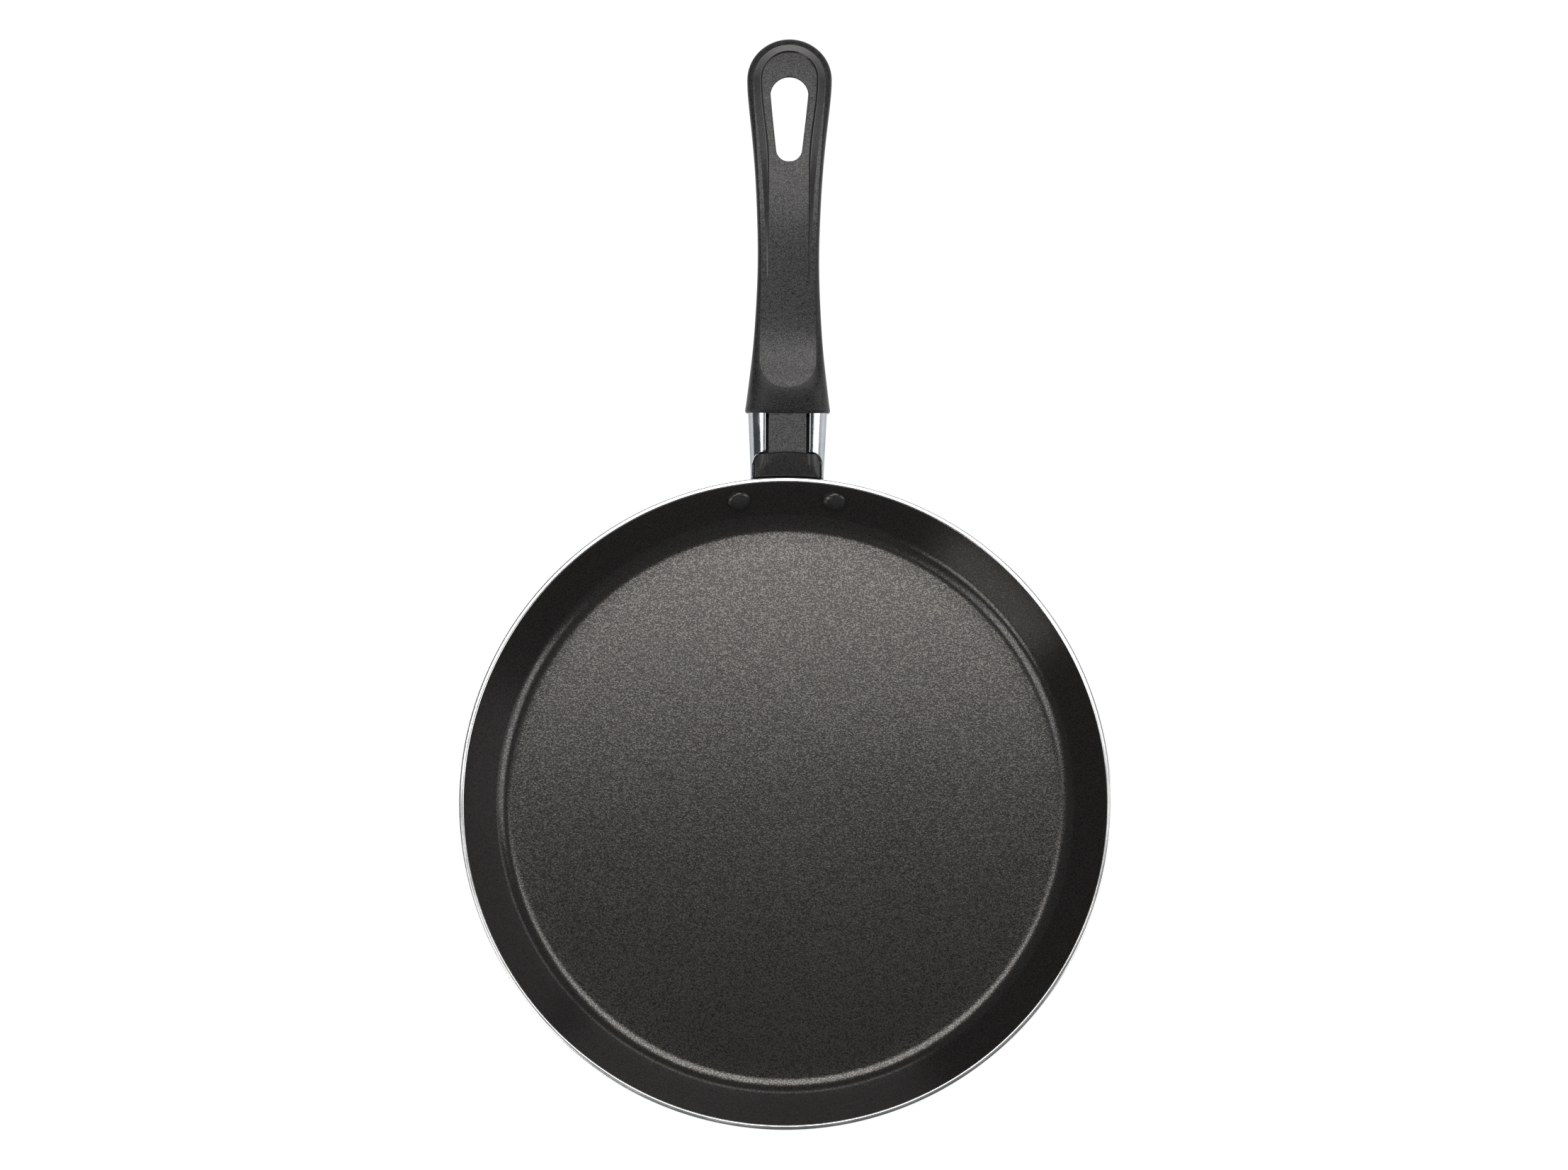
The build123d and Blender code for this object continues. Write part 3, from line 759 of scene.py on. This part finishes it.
def pale_floor():
    """White studio floor that glows, so that it stays white round the pan."""
    white = (1.0, 1.0, 1.0, 1.0)
    paint = Paint("studio_floor", Emission_Color=white, Emission_Strength=1.0, Specular_IOR_Level=0.2)
    tone = paint.noise(3.0, 2.0, 0.5)
    links = paint.tree.links
    links.new(paint.mix(tone, (0.07, 0.07, 0.07), (0.09, 0.09, 0.09)), paint.shader.inputs["Base Color"])
    links.new(paint.ramp(tone, 0.85, 0.95, 0.0, 1.0), paint.shader.inputs["Roughness"])
    return paint.material


COATING, RIM, LACQUER, BASE = coating(), bare_rim(), outer_lacquer(), turned_base()
GRAINED = plastic(
    "grained_plastic", (0.008, 0.008, 0.0082), (0.120, 0.120, 0.122),
    scale=2150.0, depth=0.00008, roughness=0.41, speck=0.25, shine=0.38, sparkle=0.70,
)
# Painted light: the tongue is the core's own grained plastic, given a lighter colour to stand in for the
# brighter light that a flatter tongue would catch
TONGUE_PAINTED_LIGHT = plastic(
    "tongue_plastic_painted_light", (0.030, 0.030, 0.031), (0.150, 0.150, 0.155),
    scale=2300.0, depth=0.00009, roughness=0.54, speck=0.25, shine=0.5,
)
SMOOTH = plastic(
    "smooth_plastic", (0.010, 0.010, 0.0103), (0.048, 0.048, 0.049),
    scale=1900.0, depth=0.000045, roughness=0.42, speck=0.06, shine=0.32,
)
RAIL = plastic(
    "rail_plastic", (0.014, 0.014, 0.0143), (0.028, 0.028, 0.029),
    scale=1900.0, depth=0.000022, roughness=0.31, speck=0.04, shine=0.8,
)
ENAMEL = plastic(
    "bracket_enamel", (0.022, 0.022, 0.022), (0.044, 0.043, 0.042),
    scale=1200.0, depth=0.000025, roughness=0.33, speck=0.03, shine=0.6,
)
RIVET_COAT = plastic(
    "rivet_coating", (0.026, 0.0255, 0.025), (0.042, 0.041, 0.040),
    scale=1400.0, depth=0.00002, roughness=0.22, speck=0.05, shine=0.8,
)
CHROME, STEEL = chrome(), steel()


# Pan body

def pan_profile():
    """The pan's half section, over the rim and back under the base."""
    corners = [
        (0.0, FLOOR_THICKNESS), (FOOT_RADIUS, FLOOR_THICKNESS), (INNER_RIM_RADIUS, PAN_HEIGHT),
        (RIM_CORNER_RADIUS, PAN_HEIGHT), (OUTER_FOOT_RADIUS, 0.0),
    ]
    radii = [0, CORNER_RADIUS, RIM_INNER_ROUND, RIM_OUTER_ROUND, OUTER_CORNER_RADIUS]
    half = GROOVE_WIDTH / 2
    for k in reversed(range(GROOVE_COUNT)):
        ring = FIRST_GROOVE_RADIUS + k * GROOVE_PITCH
        corners += [
            (ring + half, 0.0), (ring + half - GROOVE_DEPTH, GROOVE_DEPTH),
            (ring - half + GROOVE_DEPTH, GROOVE_DEPTH), (ring - half, 0.0),
        ]
        radii += [GROOVE_ROUND] * 4
    return densified(rounded(corners + [(0.0, 0.0)], radii + [0], 12), PAN_LONGEST_STEP)


def pan_finish(start, end, inside):
    """The finish of a profile step: 0 coating, 1 bare rim, 2 lacquer, 3 turned base."""
    middle, height = (start[0] + end[0]) / 2, (start[1] + end[1]) / 2
    if inside and (middle < COATING_EDGE_RADIUS or height < PAN_HEIGHT - RIM_INNER_ROUND):
        return 0
    if height > PAN_HEIGHT - BARE_DEPTH:
        return 1
    if height > LACQUER_EDGE_HEIGHT or middle > OUTER_FOOT_RADIUS - LACQUER_FOOT_MARGIN:
        return 2
    return 3


def build_pan():
    """The pressed body: coated inside, bare polished rim, lacquered wall and turned base."""
    profile = pan_profile()
    points, faces = lathe(profile, PAN_TURNS)
    widest = max(range(len(profile)), key=lambda i: profile[i][0])
    finishes = [pan_finish(profile[i], profile[i + 1], i < widest) for i in range(len(profile) - 1)]
    of_faces = [finish for finish in finishes for _ in range(PAN_TURNS)]
    materials = [COATING, RIM, LACQUER, BASE]
    pan = add_object("pan_shell", points, faces, materials, None, FINE_WELD, of_faces)
    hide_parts("pan_body")


# Rivets

def rivet_matrix(side):
    """Frame on the inner wall at a rivet, its Z axis into the dish."""
    turn = side * RIVET_TURN
    outwards = Vector((sin(turn), cos(turn), 0.0))
    up = Vector((0, 0, 1))
    x_axis = Vector((cos(turn), -sin(turn), 0.0))
    z_axis = (outwards * -sin(WALL_ANGLE) + up * cos(WALL_ANGLE)).normalized()
    return frame_matrix(x_axis, z_axis, outwards * RIVET_SEAT_RADIUS + up * RIVET_HEIGHT)


def rivet_profile():
    """Half section of a rivet: domed head, shank and flatter tail."""
    tail = WALL_THICKNESS + EAR_THICKNESS
    lift = RIVET_HEAD_RADIUS**2 / RIVET_SEAT_RADIUS / 2
    edge, dome = lift + RIVET_HEAD_EDGE, RIVET_HEAD_HEIGHT - RIVET_HEAD_EDGE
    profile = [(0.0, lift + RIVET_HEAD_HEIGHT)]
    for a in turns(16)[1:]:
        profile.append((RIVET_HEAD_RADIUS * sin(a) ** 0.9, edge + dome * cos(a) ** 0.85))
    profile += [
        (RIVET_HEAD_RADIUS, lift), (RIVET_SHANK_RADIUS, lift), (RIVET_SHANK_RADIUS, -tail),
        (RIVET_TAIL_RADIUS - RIVET_TAIL_CHAMFER, -tail), (RIVET_TAIL_RADIUS, -tail - RIVET_TAIL_EDGE),
    ]
    for a in turns(9)[1:]:
        drop = RIVET_TAIL_EDGE + (RIVET_TAIL_HEIGHT - RIVET_TAIL_EDGE) * sin(a)
        profile.append((RIVET_TAIL_RADIUS * cos(a), -tail - drop))
    return profile


def build_rivets():
    """Domed heads inside the dish and flatter tails outside the bracket."""
    points, faces = lathe(rivet_profile(), RIVET_TURNS)
    for side, name in ((-1, "rivet_left"), (1, "rivet_right")):
        at_seat = placed(rivet_matrix(side), points)
        rivet = add_object(name + "_dressed", at_seat, faces, [RIVET_COAT], 50, FINE_WELD)
        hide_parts(name)


# Ferrule

def section_point(y, angle, inset=0.0):
    """Point of the ferrule's section at y, at an angle from straight up, drawn in by an inset."""
    a, b = (value - inset for value in ferrule_half(y))
    dx, dz = sin(angle), cos(angle)
    reach = (abs(dx / a) ** FERRULE_POWER + abs(dz / b) ** FERRULE_POWER) ** (-1 / FERRULE_POWER)
    return dx * reach, dz * reach + axis_z(y)


def angle_at_width(y, x):
    """Angle from straight up to where the section at y is x wide."""
    a, b = ferrule_half(y)
    return atan2(x, b * bulge(x / a, FERRULE_POWER))


def wall_reach(x, z, gap):
    """Smallest y at x and z that clears the rim, or lower down the ears."""
    radius = RIM_RADIUS + RIM_CLEARANCE
    if z < EAR_MIDDLE_HEIGHT + EAR_HALF_HEIGHT * sin(WALL_ANGLE):
        radius = RIM_CORNER_RADIUS - (PAN_HEIGHT - z) * WALL_RUN + gap / sin(WALL_ANGLE)
    return sqrt(radius**2 - x * x)


def joint_y(x):
    """The slightly arched joint between the wedge and the tongue."""
    return WEDGE_END - JOINT_ARCH * (x / (TONGUE_WIDTH / 2)) ** 2


def foot_y(angle):
    """Where the ferrule's foot ends, just clear of the pan."""
    y = RIM_RADIUS
    for _ in range(8):
        x, z = section_point(y, angle)
        y = wall_reach(x, z, EAR_THICKNESS + FIT)
    return y


def cut_line():
    """Places along the ferrule with its open top's half width: the window, then the slot."""
    low, flat, slot = WEDGE_END - WINDOW_CORNER, WINDOW_HALF_WIDTH - WINDOW_CORNER, SLOT_HALF_WIDTH
    line = [(low + WINDOW_CORNER * sin(a), flat + WINDOW_CORNER * cos(a)) for a in turns(13)]
    for step, half in ((0.08, flat * 0.6 + slot * 0.4), (0.18, slot + 0.25), (0.45, slot)):
        line.append((WEDGE_END + step, half))
    return line + [(y, slot) for y in np.linspace(WEDGE_END + 1.0, FERRULE_END - FERRULE_SHEET / 2, 26)]


def sheet_loop(back, target, share, cut, thin):
    """One closed loop round half the sheet, from its cut edge down the outside and back up the inside.

    It lies back from the foot, and a share of the way on to a target y. cut is the open top's half width, and
    thin shrinks the sheet's thickness to nothing."""
    def y_at(angle):
        return (foot_y(angle) + back) * (1 - share) + target * share

    half = FERRULE_SHEET / 2
    edge_turn = half / (hypot(*FERRULE_PAN_SIZE) / 2)
    y_cut = y_at(QUARTER)
    start = angle_at_width(y_cut, cut)
    wide = max(angle_at_width(y_cut, WINDOW_HALF_WIDTH + WINDOW_MARGIN), start + edge_turn)
    outside = [(start + edge_turn * (1 - sin(a)), cos(a)) for a in np.linspace(QUARTER, 0, 4)]
    outside += [(angle, 1.0) for angle in np.linspace(start + edge_turn, wide, 9)[1:]]
    outside += [(angle, 1.0) for angle in np.linspace(wide, pi, 40)[1:]]
    loop = []
    for angle, depth in outside + [(angle, -depth) for angle, depth in outside[:0:-1]]:
        y = y_at(angle)
        x, z = section_point(y, angle, half - half * depth * thin)
        loop.append((x, y, z))
    return loop


def build_ferrule():
    """The bright sleeve, open along its top."""
    half, low, window = FERRULE_SHEET / 2, WEDGE_END - WINDOW_CORNER, WINDOW_HALF_WIDTH
    grid = [
        sheet_loop(half * (1 - cos(a)), low, 0.0, window, sin(a)) for a in turns(5)
    ]
    grid += [sheet_loop(half, low, share, window, 1.0) for share in np.linspace(0, 1, 12)[1:-1]]
    grid += [sheet_loop(half, y, 1.0, cut, 1.0) for y, cut in cut_line()]
    for a in np.linspace(QUARTER, 0, 4)[1:]:
        end = FERRULE_END - half * (1 - cos(a))
        grid.append(sheet_loop(half, end, 1.0, SLOT_HALF_WIDTH, sin(a)))
    ferrule = grid_piece("ferrule_sleeve", grid, CHROME, 50, closed=True)
    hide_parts("ferrule")


# Bracket

def soft_min(a, b, blend):
    """The lower of two heights, eased into each other over a blend length."""
    h = clamp(0.5 + 0.5 * (b - a) / blend)
    return b + (a - b) * h - blend * h * (1 - h)


def wedge_height(x, y):
    """Top of the bare wedge, which falls towards the rim and carries two ribs."""
    a, b = (value - FERRULE_SHEET - WEDGE_GAP for value in ferrule_half(y))
    shell = axis_z(y) + b * bulge(x / a, FERRULE_POWER)
    end_height = ferrule_top(WEDGE_END) - FERRULE_SHEET - WEDGE_END_GAP
    share = clamp((y - RIM_RADIUS) / (WEDGE_END - RIM_RADIUS))
    slope = WEDGE_NOSE_HEIGHT + (end_height - WEDGE_NOSE_HEIGHT) * (share + WEDGE_BULGE * share * (1 - share))
    rib_middle = (TONGUE_WIDTH + TONGUE_GROOVE) / 2
    across = max(1 - ((x - rib_middle) / RIB_HALF_WIDTH) ** 2, 0.0) ** 0.7
    run_in = ease(clamp((y - (WEDGE_END - RIB_LENGTH)) / RIB_RUN_IN))
    return soft_min(shell, slope, WEDGE_BLEND) + RIB_HEIGHT * across * run_in


def build_wedge():
    """The bare wedge above the rim, closed underneath and at both ends."""
    columns = sorted({
        x for start, end, count in ((0.0, RIB_ZONE[0], 14), (*RIB_ZONE, 22), (RIB_ZONE[1], WEDGE_REACH, 26))
        for x in np.linspace(start, end, count)
    })
    grid = []
    for t in np.linspace(0, 1, 46):
        nose = WEDGE_NOSE_ROUND * quarter_round(min(t / WEDGE_NOSE_SHARE, 1.0))
        row = []
        for column in columns:
            low = wall_reach(column, PAN_HEIGHT, 0.0)
            y = low + (joint_y(min(column, TONGUE_WIDTH / 2)) - low) * t
            x = min(column, ferrule_half(y)[0] - FERRULE_SHEET - WEDGE_GAP - 0.01)
            row.append((x, y, wedge_height(x, y) - nose))
        grid.append(row + [(*row[-1][:2], WEDGE_FLOOR), (0.0, row[0][1], WEDGE_FLOOR)])
    first, last = ([(x, y, min(z, WEDGE_FLOOR)) for x, y, z in row] for row in (grid[0], grid[-1]))
    return grid_piece("bracket_wedge", [first] + grid + [last], ENAMEL, 55)


def build_neck():
    """The neck inside the ferrule, flat on top below the wedge and the tongue."""
    neck = []
    for y in np.linspace(NECK_START, GRIP_START - NECK_END_GAP, 16):
        drop = TONGUE_THICKNESS / cos(AXIS_SLOPE) if y > WEDGE_END - NECK_STEP else NECK_DROP
        section = (section_point(y, angle, FERRULE_SHEET + FIT) for angle in np.linspace(0, pi, 40))
        neck.append([(x, y, min(z, ferrule_top(y) - drop)) for x, z in section])
    first, last = ([(0.0, y, z) for _, y, z in row] for row in (neck[0], neck[-1]))
    return grid_piece("bracket_neck", [first] + neck + [last], ENAMEL, 45)


def wrap_on_wall(u, v, depth):
    """Point u round the pan and v up its wall, at a depth out of the wall."""
    radius = EAR_RADIUS + v * cos(WALL_ANGLE) + depth * sin(WALL_ANGLE)
    z = EAR_MIDDLE_HEIGHT + v * sin(WALL_ANGLE) - depth * cos(WALL_ANGLE)
    return radius * sin(u / EAR_RADIUS), radius * cos(u / EAR_RADIUS), z


def ears_outline():
    """The plate's outline laid flat, in short steps."""
    outline = []
    for side, end, start in ((1, 1, 0), (-1, 1, 90), (-1, -1, 180), (1, -1, 270)):
        for t in np.radians(np.linspace(start, start + 90, 13)):
            outline.append((
                side * (EAR_HALF_LENGTH - EAR_CORNER) + EAR_CORNER * cos(t),
                end * (EAR_HALF_HEIGHT - EAR_CORNER) + EAR_CORNER * sin(t),
            ))
    return densified(outline + outline[:1], EAR_LONGEST_STEP, round)[:-1]


def ears_ring(outline, scale, inset, depth):
    """The outline drawn in by an inset and scaled towards its spine, at a depth."""
    spine_half = EAR_HALF_LENGTH - EAR_HALF_HEIGHT
    ring = []
    for point in outline:
        u, v = (copysign(max(abs(value) - inset, 0.0), value) for value in point)
        spine = clamp(u, -spine_half, spine_half)
        ring.append(wrap_on_wall(spine + (u - spine) * scale, v * scale, depth))
    return ring


def build_ears():
    """The riveted plate on the outside of the wall, its edges eased."""
    outline, side = ears_outline(), EAR_THICKNESS - EAR_EASE
    scales = np.linspace(1, 0, 9)[1:]
    layers = [(scale, 0.0, EAR_GAP) for scale in scales[::-1]] + [(1.0, 0.0, EAR_GAP), (1.0, 0.0, side)]
    for a in turns(5)[1:]:
        layers.append((1.0, EAR_EASE * (1 - cos(a)), side + EAR_EASE * sin(a)))
    layers += [(scale, EAR_EASE, EAR_THICKNESS) for scale in scales]
    points = [point for layer in layers for point in ears_ring(outline, *layer)]
    faces = ring_faces(len(layers), len(outline))
    return add_object("bracket_ears", points, faces, [ENAMEL], 50)


def build_bracket():
    """The bracket: its bare wedge, its neck inside the ferrule and its ears."""
    for piece in (build_wedge(), build_neck(), build_ears()):
        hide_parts("handle_bracket")


# Grip

def sleeve_loop(row):
    """Half a section of the shell: over the flank, under the belly and back along the channel."""
    loop = []
    for t in np.linspace(0, 1, 18, endpoint=False):
        u = row.panel + (row.edge - row.panel) * sin(t * QUARTER) ** 0.9
        loop.append((u, row.top(u)))
    loop.append((row.edge, row.top(row.edge)))
    for t in np.linspace(0, 1, 23)[1:]:
        u = row.hole_low + (row.edge - row.hole_low) * (cos(t * QUARTER) ** 0.85 if t < 1 else 0.0)
        loop.append((u, row.under(u) + row.rounding(u - row.hole_low)))
    floor, low = row.channel(row.hole), row.under(row.hole)
    loop += [(row.hole_at(z), z) for z in ((low + floor) / 2, floor)]
    return loop + [(row.panel, row.channel(row.panel))]


def ferrule_mouth(loop, y):
    """The ferrule's section at y, with a gap, point for point as in a loop."""
    section = (section_point(y, atan2(u, z - axis_z(y)), -SOCKET_GAP) for u, z in loop)
    return [(x, y, z) for x, z in section]


def leaned(point):
    """A point of the collar's end moved back, more so the lower it lies."""
    x, y, z = point
    depth = clamp((COLLAR_TOP - z) / COLLAR_THICKNESS)
    near = clamp(1 - (y - GRIP_START) / COLLAR_LEAN_LENGTH)
    return x, y + COLLAR_LEAN * sin(depth * QUARTER) * near, z


def collar_edge():
    """Rings that round the collar's end over towards the ferrule."""
    centre = (top_line(GRIP_START) + under_line(GRIP_START)) / 2
    rings = []
    for a in turns(9)[:-1]:
        y = GRIP_START + COLLAR_EDGE_LENGTH * (1 - cos(a))
        inset = COLLAR_EDGE_INSET * (1 - sin(a))
        ring = []
        for u, z in sleeve_loop(Row(y)):
            keep = 1 - inset / (hypot(u, z - centre) or 1.0)
            ring.append((u * keep, y, centre + (z - centre) * keep))
        rings.append(ring)
    return rings


def build_sleeve():
    """The smooth shell of the grip, with its collar over the ferrule's end."""
    loops = [sleeve_loop(row) for row in ROWS]
    grid = [[(*row.place(u), z) for u, z in loop] for row, loop in zip(ROWS, loops)]
    body = [row for row in grid if row[0][1] > GRIP_START + COLLAR_EDGE_LENGTH]
    mouth, socket = (ferrule_mouth(loops[0], y) for y in (GRIP_START, FERRULE_END + FIT))
    plug = [(0.0, y, z) for _, y, z in socket]
    outside = [[leaned(point) for point in row] for row in [mouth] + collar_edge() + body]
    sleeve = grid_piece("grip_shell", [plug, socket] + outside, SMOOTH, 42, closed=True)
    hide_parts("grip_sleeve")
    return sleeve


def panel_loop(row):
    """Half a section of the panel: across its face, down its edge and up the hole's wall."""
    edge = max(row.panel - PANEL_GAP, 0.0)
    loop = []
    for u in row.hole + (edge - row.hole) * np.linspace(0, 1, 25):
        loop.append((u, row.face(u) - row.rounding(u - row.hole)))
    loop.append((edge, row.channel(edge) + PANEL_GAP))
    heights = np.linspace(row.channel(row.hole) + PANEL_GAP, loop[0][1], 6)[:-1]
    loop += [(row.hole_at(z), z) for z in heights]
    return [(*row.place(u), z) for u, z in loop]


def build_panel():
    """The grained panel that fills the shell's window."""
    grid = [panel_loop(row) for row in ROWS if row.y >= PANEL_LOW]
    return grid_piece("grained_panel", grid, GRAINED, 42, closed=True)


def tongue_row(share):
    """Half a section of the tongue at a share of its length."""
    half = TONGUE_WIDTH / 2
    steps = [(x, 0.0) for x in np.linspace(0, half - TONGUE_EASE, 9)]
    for a in turns(6)[1:]:
        steps.append((half - TONGUE_EASE * (1 - sin(a)), TONGUE_EASE * (1 - cos(a))))
    row = []
    for x, drop in steps:
        low = joint_y(x) + JOINT_GAP
        y = low + (GRIP_START + TONGUE_OVERLAP - low) * share
        nose = quarter_round(min(share * (GRIP_START - low) / TONGUE_NOSE_ROUND, 1.0))
        drop += TONGUE_DROP + TONGUE_CROWN * (x / half) ** 2 + TONGUE_NOSE_ROUND * nose
        row.append((x, y, ferrule_top(y) - drop))
    below = ((half, row[-1][1]), (0.0, row[0][1]))
    return row + [(x, y, ferrule_top(y) - TONGUE_THICKNESS) for x, y in below]


def build_tongue():
    """The core's tongue between the ferrule's cheeks."""
    # The tongue's lighter plastic is painted light on the core's grained plastic, not a plastic of its own
    grid = [tongue_row(share) for share in np.linspace(0, 1, 30)]
    first, last = ([(x, y, row[-1][2]) for x, y, _ in row] for row in (grid[0], grid[-1]))
    return grid_piece("core_tongue", [first] + grid + [last], TONGUE_PAINTED_LIGHT, 50)


def build_core():
    """The hard core: its panel and its tongue."""
    for piece in (build_panel(), build_tongue()):
        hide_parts("handle_core")


def rail_loop(row):
    """Half a section of the rail: up its inner edge, over it and down the outer edge."""
    inner, outer = row.rail_in, row.rail_out
    grow = min((row.y - RAIL_LOW) / RAIL_GROW_LENGTH, 1.0)
    height = RAIL_HEIGHT * (RAIL_START_SHARE + (1 - RAIL_START_SHARE) * grow)
    fall = RAIL_FALL * (1 - RAIL_TIP_TURN * sin(row.turn or 0.0))
    loop = [(inner, row.face(inner) - RAIL_FOOT)]
    for t in np.linspace(0, 1, 17):
        u = inner + (outer - inner) * t
        swell = ease(min(t / RAIL_RISE_SHARE, 1.0)) * (1 - fall * max(t - RAIL_RISE_SHARE, 0.0))
        loop.append((u, row.face(u) + RAIL_LIFT + height * swell))
    loop.append((outer, row.face(outer) - RAIL_FOOT))
    return [(*row.place(u), z) for u, z in loop]


def build_rail():
    """The smooth horseshoe on the panel round the hanging hole."""
    grid = [rail_loop(row) for row in ROWS if row.rail_out is not None]
    middle = np.mean([x for x, _, _ in grid[0]])
    top = grid[0][0][2] + RAIL_POINT_HEIGHT
    point = [
        (middle + (x - middle) * RAIL_POINT_SHARE, y - RAIL_POINT_LENGTH, min(z, top)) for x, y, z in grid[0]
    ]
    rail = grid_piece("horseshoe_rail", [point] + grid, RAIL, 60, closed=True)
    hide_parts("grip_rail")


# Screw and washer

def screw_matrix():
    """Frame at the screw, its Z axis out of the grip's underside."""
    reach = (GRIP_START - RIM_RADIUS) / cos(AXIS_SLOPE) - FIT + SCREW_PLACE
    y, z = RIM_RADIUS + reach * cos(AXIS_SLOPE), AXIS_HEIGHT + reach * sin(AXIS_SLOPE)
    z_axis = Vector((0, sin(AXIS_SLOPE), -cos(AXIS_SLOPE)))
    return frame_matrix(Vector((1, 0, 0)), z_axis, Vector((0, y, z)))


def turned(name, profile, material, crease=None):
    """A piece turned round the screw's axis."""
    points, faces = lathe(profile, SCREW_TURNS)
    return add_object(name, placed(screw_matrix(), points), faces, [material], crease)


def drum(radius, low, high):
    return [(0.0, low), (radius, low), (radius, high), (0.0, high)]


def build_recess(sleeve):
    """The recess for the screw under the grip, and the core's boss in it."""
    hollow = drum(RECESS_RADIUS, SCREW_SEAT_DEPTH - RECESS_OVERLAP, RECESS_REACH)
    carve(sleeve, [turned("recess_cutter", hollow, SMOOTH)], 42)
    seat = drum(RECESS_RADIUS, SCREW_SEAT_DEPTH - BOSS_THICKNESS, SCREW_SEAT_DEPTH)
    boss = turned("core_boss", seat, GRAINED, 40)
    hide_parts("handle_core")


def build_washer():
    """The flat washer under the screw's head, its edges eased."""
    low, high = SCREW_SEAT_DEPTH + WASHER_LIFT, SCREW_SEAT_DEPTH + WASHER_THICKNESS
    seam = (WASHER_BORE, SCREW_SEAT_DEPTH + WASHER_THICKNESS / 2)
    ring = [seam, (WASHER_BORE, low), (WASHER_RADIUS, low), (WASHER_RADIUS, high), (WASHER_BORE, high), seam]
    ring = rounded(ring, [0, 0.1, 0.15, 0.15, 0.1, 0], 2)
    washer = turned("washer_dressed", ring, STEEL, 40)
    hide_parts("screw_washer")


def cross_cutter(turn, top):
    """Tapered cutter for one arm of the cross in the screw's head."""
    length, width = (CROSS_LENGTH, CROSS_WIDTH) if turn == 0 else (CROSS_WIDTH, CROSS_LENGTH)
    corners = [
        (x * length / 2 * taper, y * width / 2 * taper, z)
        for z, taper in ((top - CROSS_DEPTH, 0.6), (top + 0.5, 1.1))
        for x, y in ((-1, -1), (1, -1), (1, 1), (-1, 1))
    ]
    faces = [(0, 1, 2, 3), (4, 5, 6, 7), (0, 1, 5, 4), (1, 2, 6, 5), (2, 3, 7, 6), (3, 0, 4, 7)]
    points = placed(screw_matrix(), corners)
    arm = add_object(f"cross_cutter_{turn}", points, faces, [STEEL])
    arm.data.shade_flat()
    return arm


def build_screw():
    """The fixing screw's head on the washer, with a cross sunk in it."""
    base = SCREW_SEAT_DEPTH + WASHER_THICKNESS
    top = base + SCREW_HEAD_HEIGHT
    top_radius = SCREW_HEAD_RADIUS - SCREW_HEAD_TAPER
    corners = [(0.0, base), (SCREW_HEAD_RADIUS, base), (top_radius, top), (0.0, top)]
    head = rounded(corners, [0, 0.15, SCREW_HEAD_ROUND, 0], 6)
    screw = turned("screw_dressed", head, STEEL)
    carve(screw, [cross_cutter(turn, top) for turn in (0, 1)], 40)
    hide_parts("fixing_screw")


# Studio, in metres

def build_floor():
    """The studio floor, a wide square just under the pan."""
    half, height = 3.0, -0.0003
    mesh = bpy.data.meshes.new("floor")
    corners = [(x * half, y * half, height) for x, y in ((-1, -1), (1, -1), (1, 1), (-1, 1))]
    mesh.from_pydata(corners, [], [(0, 1, 2, 3)])
    mesh.materials.append(pale_floor())
    floor = linked("floor", mesh)


def build_world():
    """A faint cool glow from all round."""
    world = bpy.data.worlds.new("studio")
    bpy.context.scene.world = world
    world.use_nodes = True
    background = world.node_tree.nodes["Background"]
    background.inputs["Color"].default_value = (0.95, 0.97, 1.0, 1.0)
    background.inputs["Strength"].default_value = 0.10


def soft_light(name, place, aim, size, power, colour=(1.0, 1.0, 1.0)):
    """A rectangular light turned towards an aim."""
    data = bpy.data.lights.new(name, "AREA")
    data.shape, data.size, data.size_y = "RECTANGLE", size[0], size[1]
    data.energy, data.color = power, colour
    lamp = linked(name, data)
    lamp.location = place
    lamp.rotation_mode = "QUATERNION"
    lamp.rotation_quaternion = (Vector(aim) - Vector(place)).to_track_quat("-Z", "Y")


def build_lights():
    """A large light above the handle's end, a box at each side, a low fill and two cards."""
    neck, middle = (0.0, 0.16, 0.03), (0.0, 0.0, 0.0)
    soft_light("key", (0.0, 0.885, 2.3), (0.0, 0.885, 0.0), (1.6, 1.19), 23.5, (1.0, 0.975, 0.945))
    soft_light("left_box", (-0.74, -0.35, 1.38), neck, (0.50, 0.8), 3.5)
    soft_light("right_box", (1.28, -0.22, 0.92), neck, (0.9, 0.8), 4.9)
    soft_light("low_fill", (-1.2, -1.1, 0.45), middle, (0.8, 0.5), 3.4, (1.0, 0.96, 0.92))
    soft_light("right_card", (1.9, 0.45, 0.32), middle, (2.4, 0.6), 3.4)
    soft_light("far_card", (0.3, 2.3, 0.40), middle, (3.0, 0.7), 6.5)


def build_camera():
    """The camera high over the pan, tilted a little towards the handle."""
    camera = bpy.data.cameras.new("camera")
    camera.lens, camera.sensor_width = 85.0, 36.0
    camera.clip_start, camera.clip_end = 0.05, 20.0
    eye = linked("camera", camera)
    eye.location = (0.0, -0.0915, 1.609)
    eye.rotation_euler = (radians(6.63), 0.0, radians(0.34))
    bpy.context.scene.camera = eye
    bpy.context.scene.view_settings.view_transform = "Standard"


build_floor()
build_world()
build_lights()
build_camera()
build_pan()
build_rivets()
build_ferrule()
build_bracket()
shell = build_sleeve()
build_core()
build_rail()
build_recess(shell)
build_washer()
build_screw()
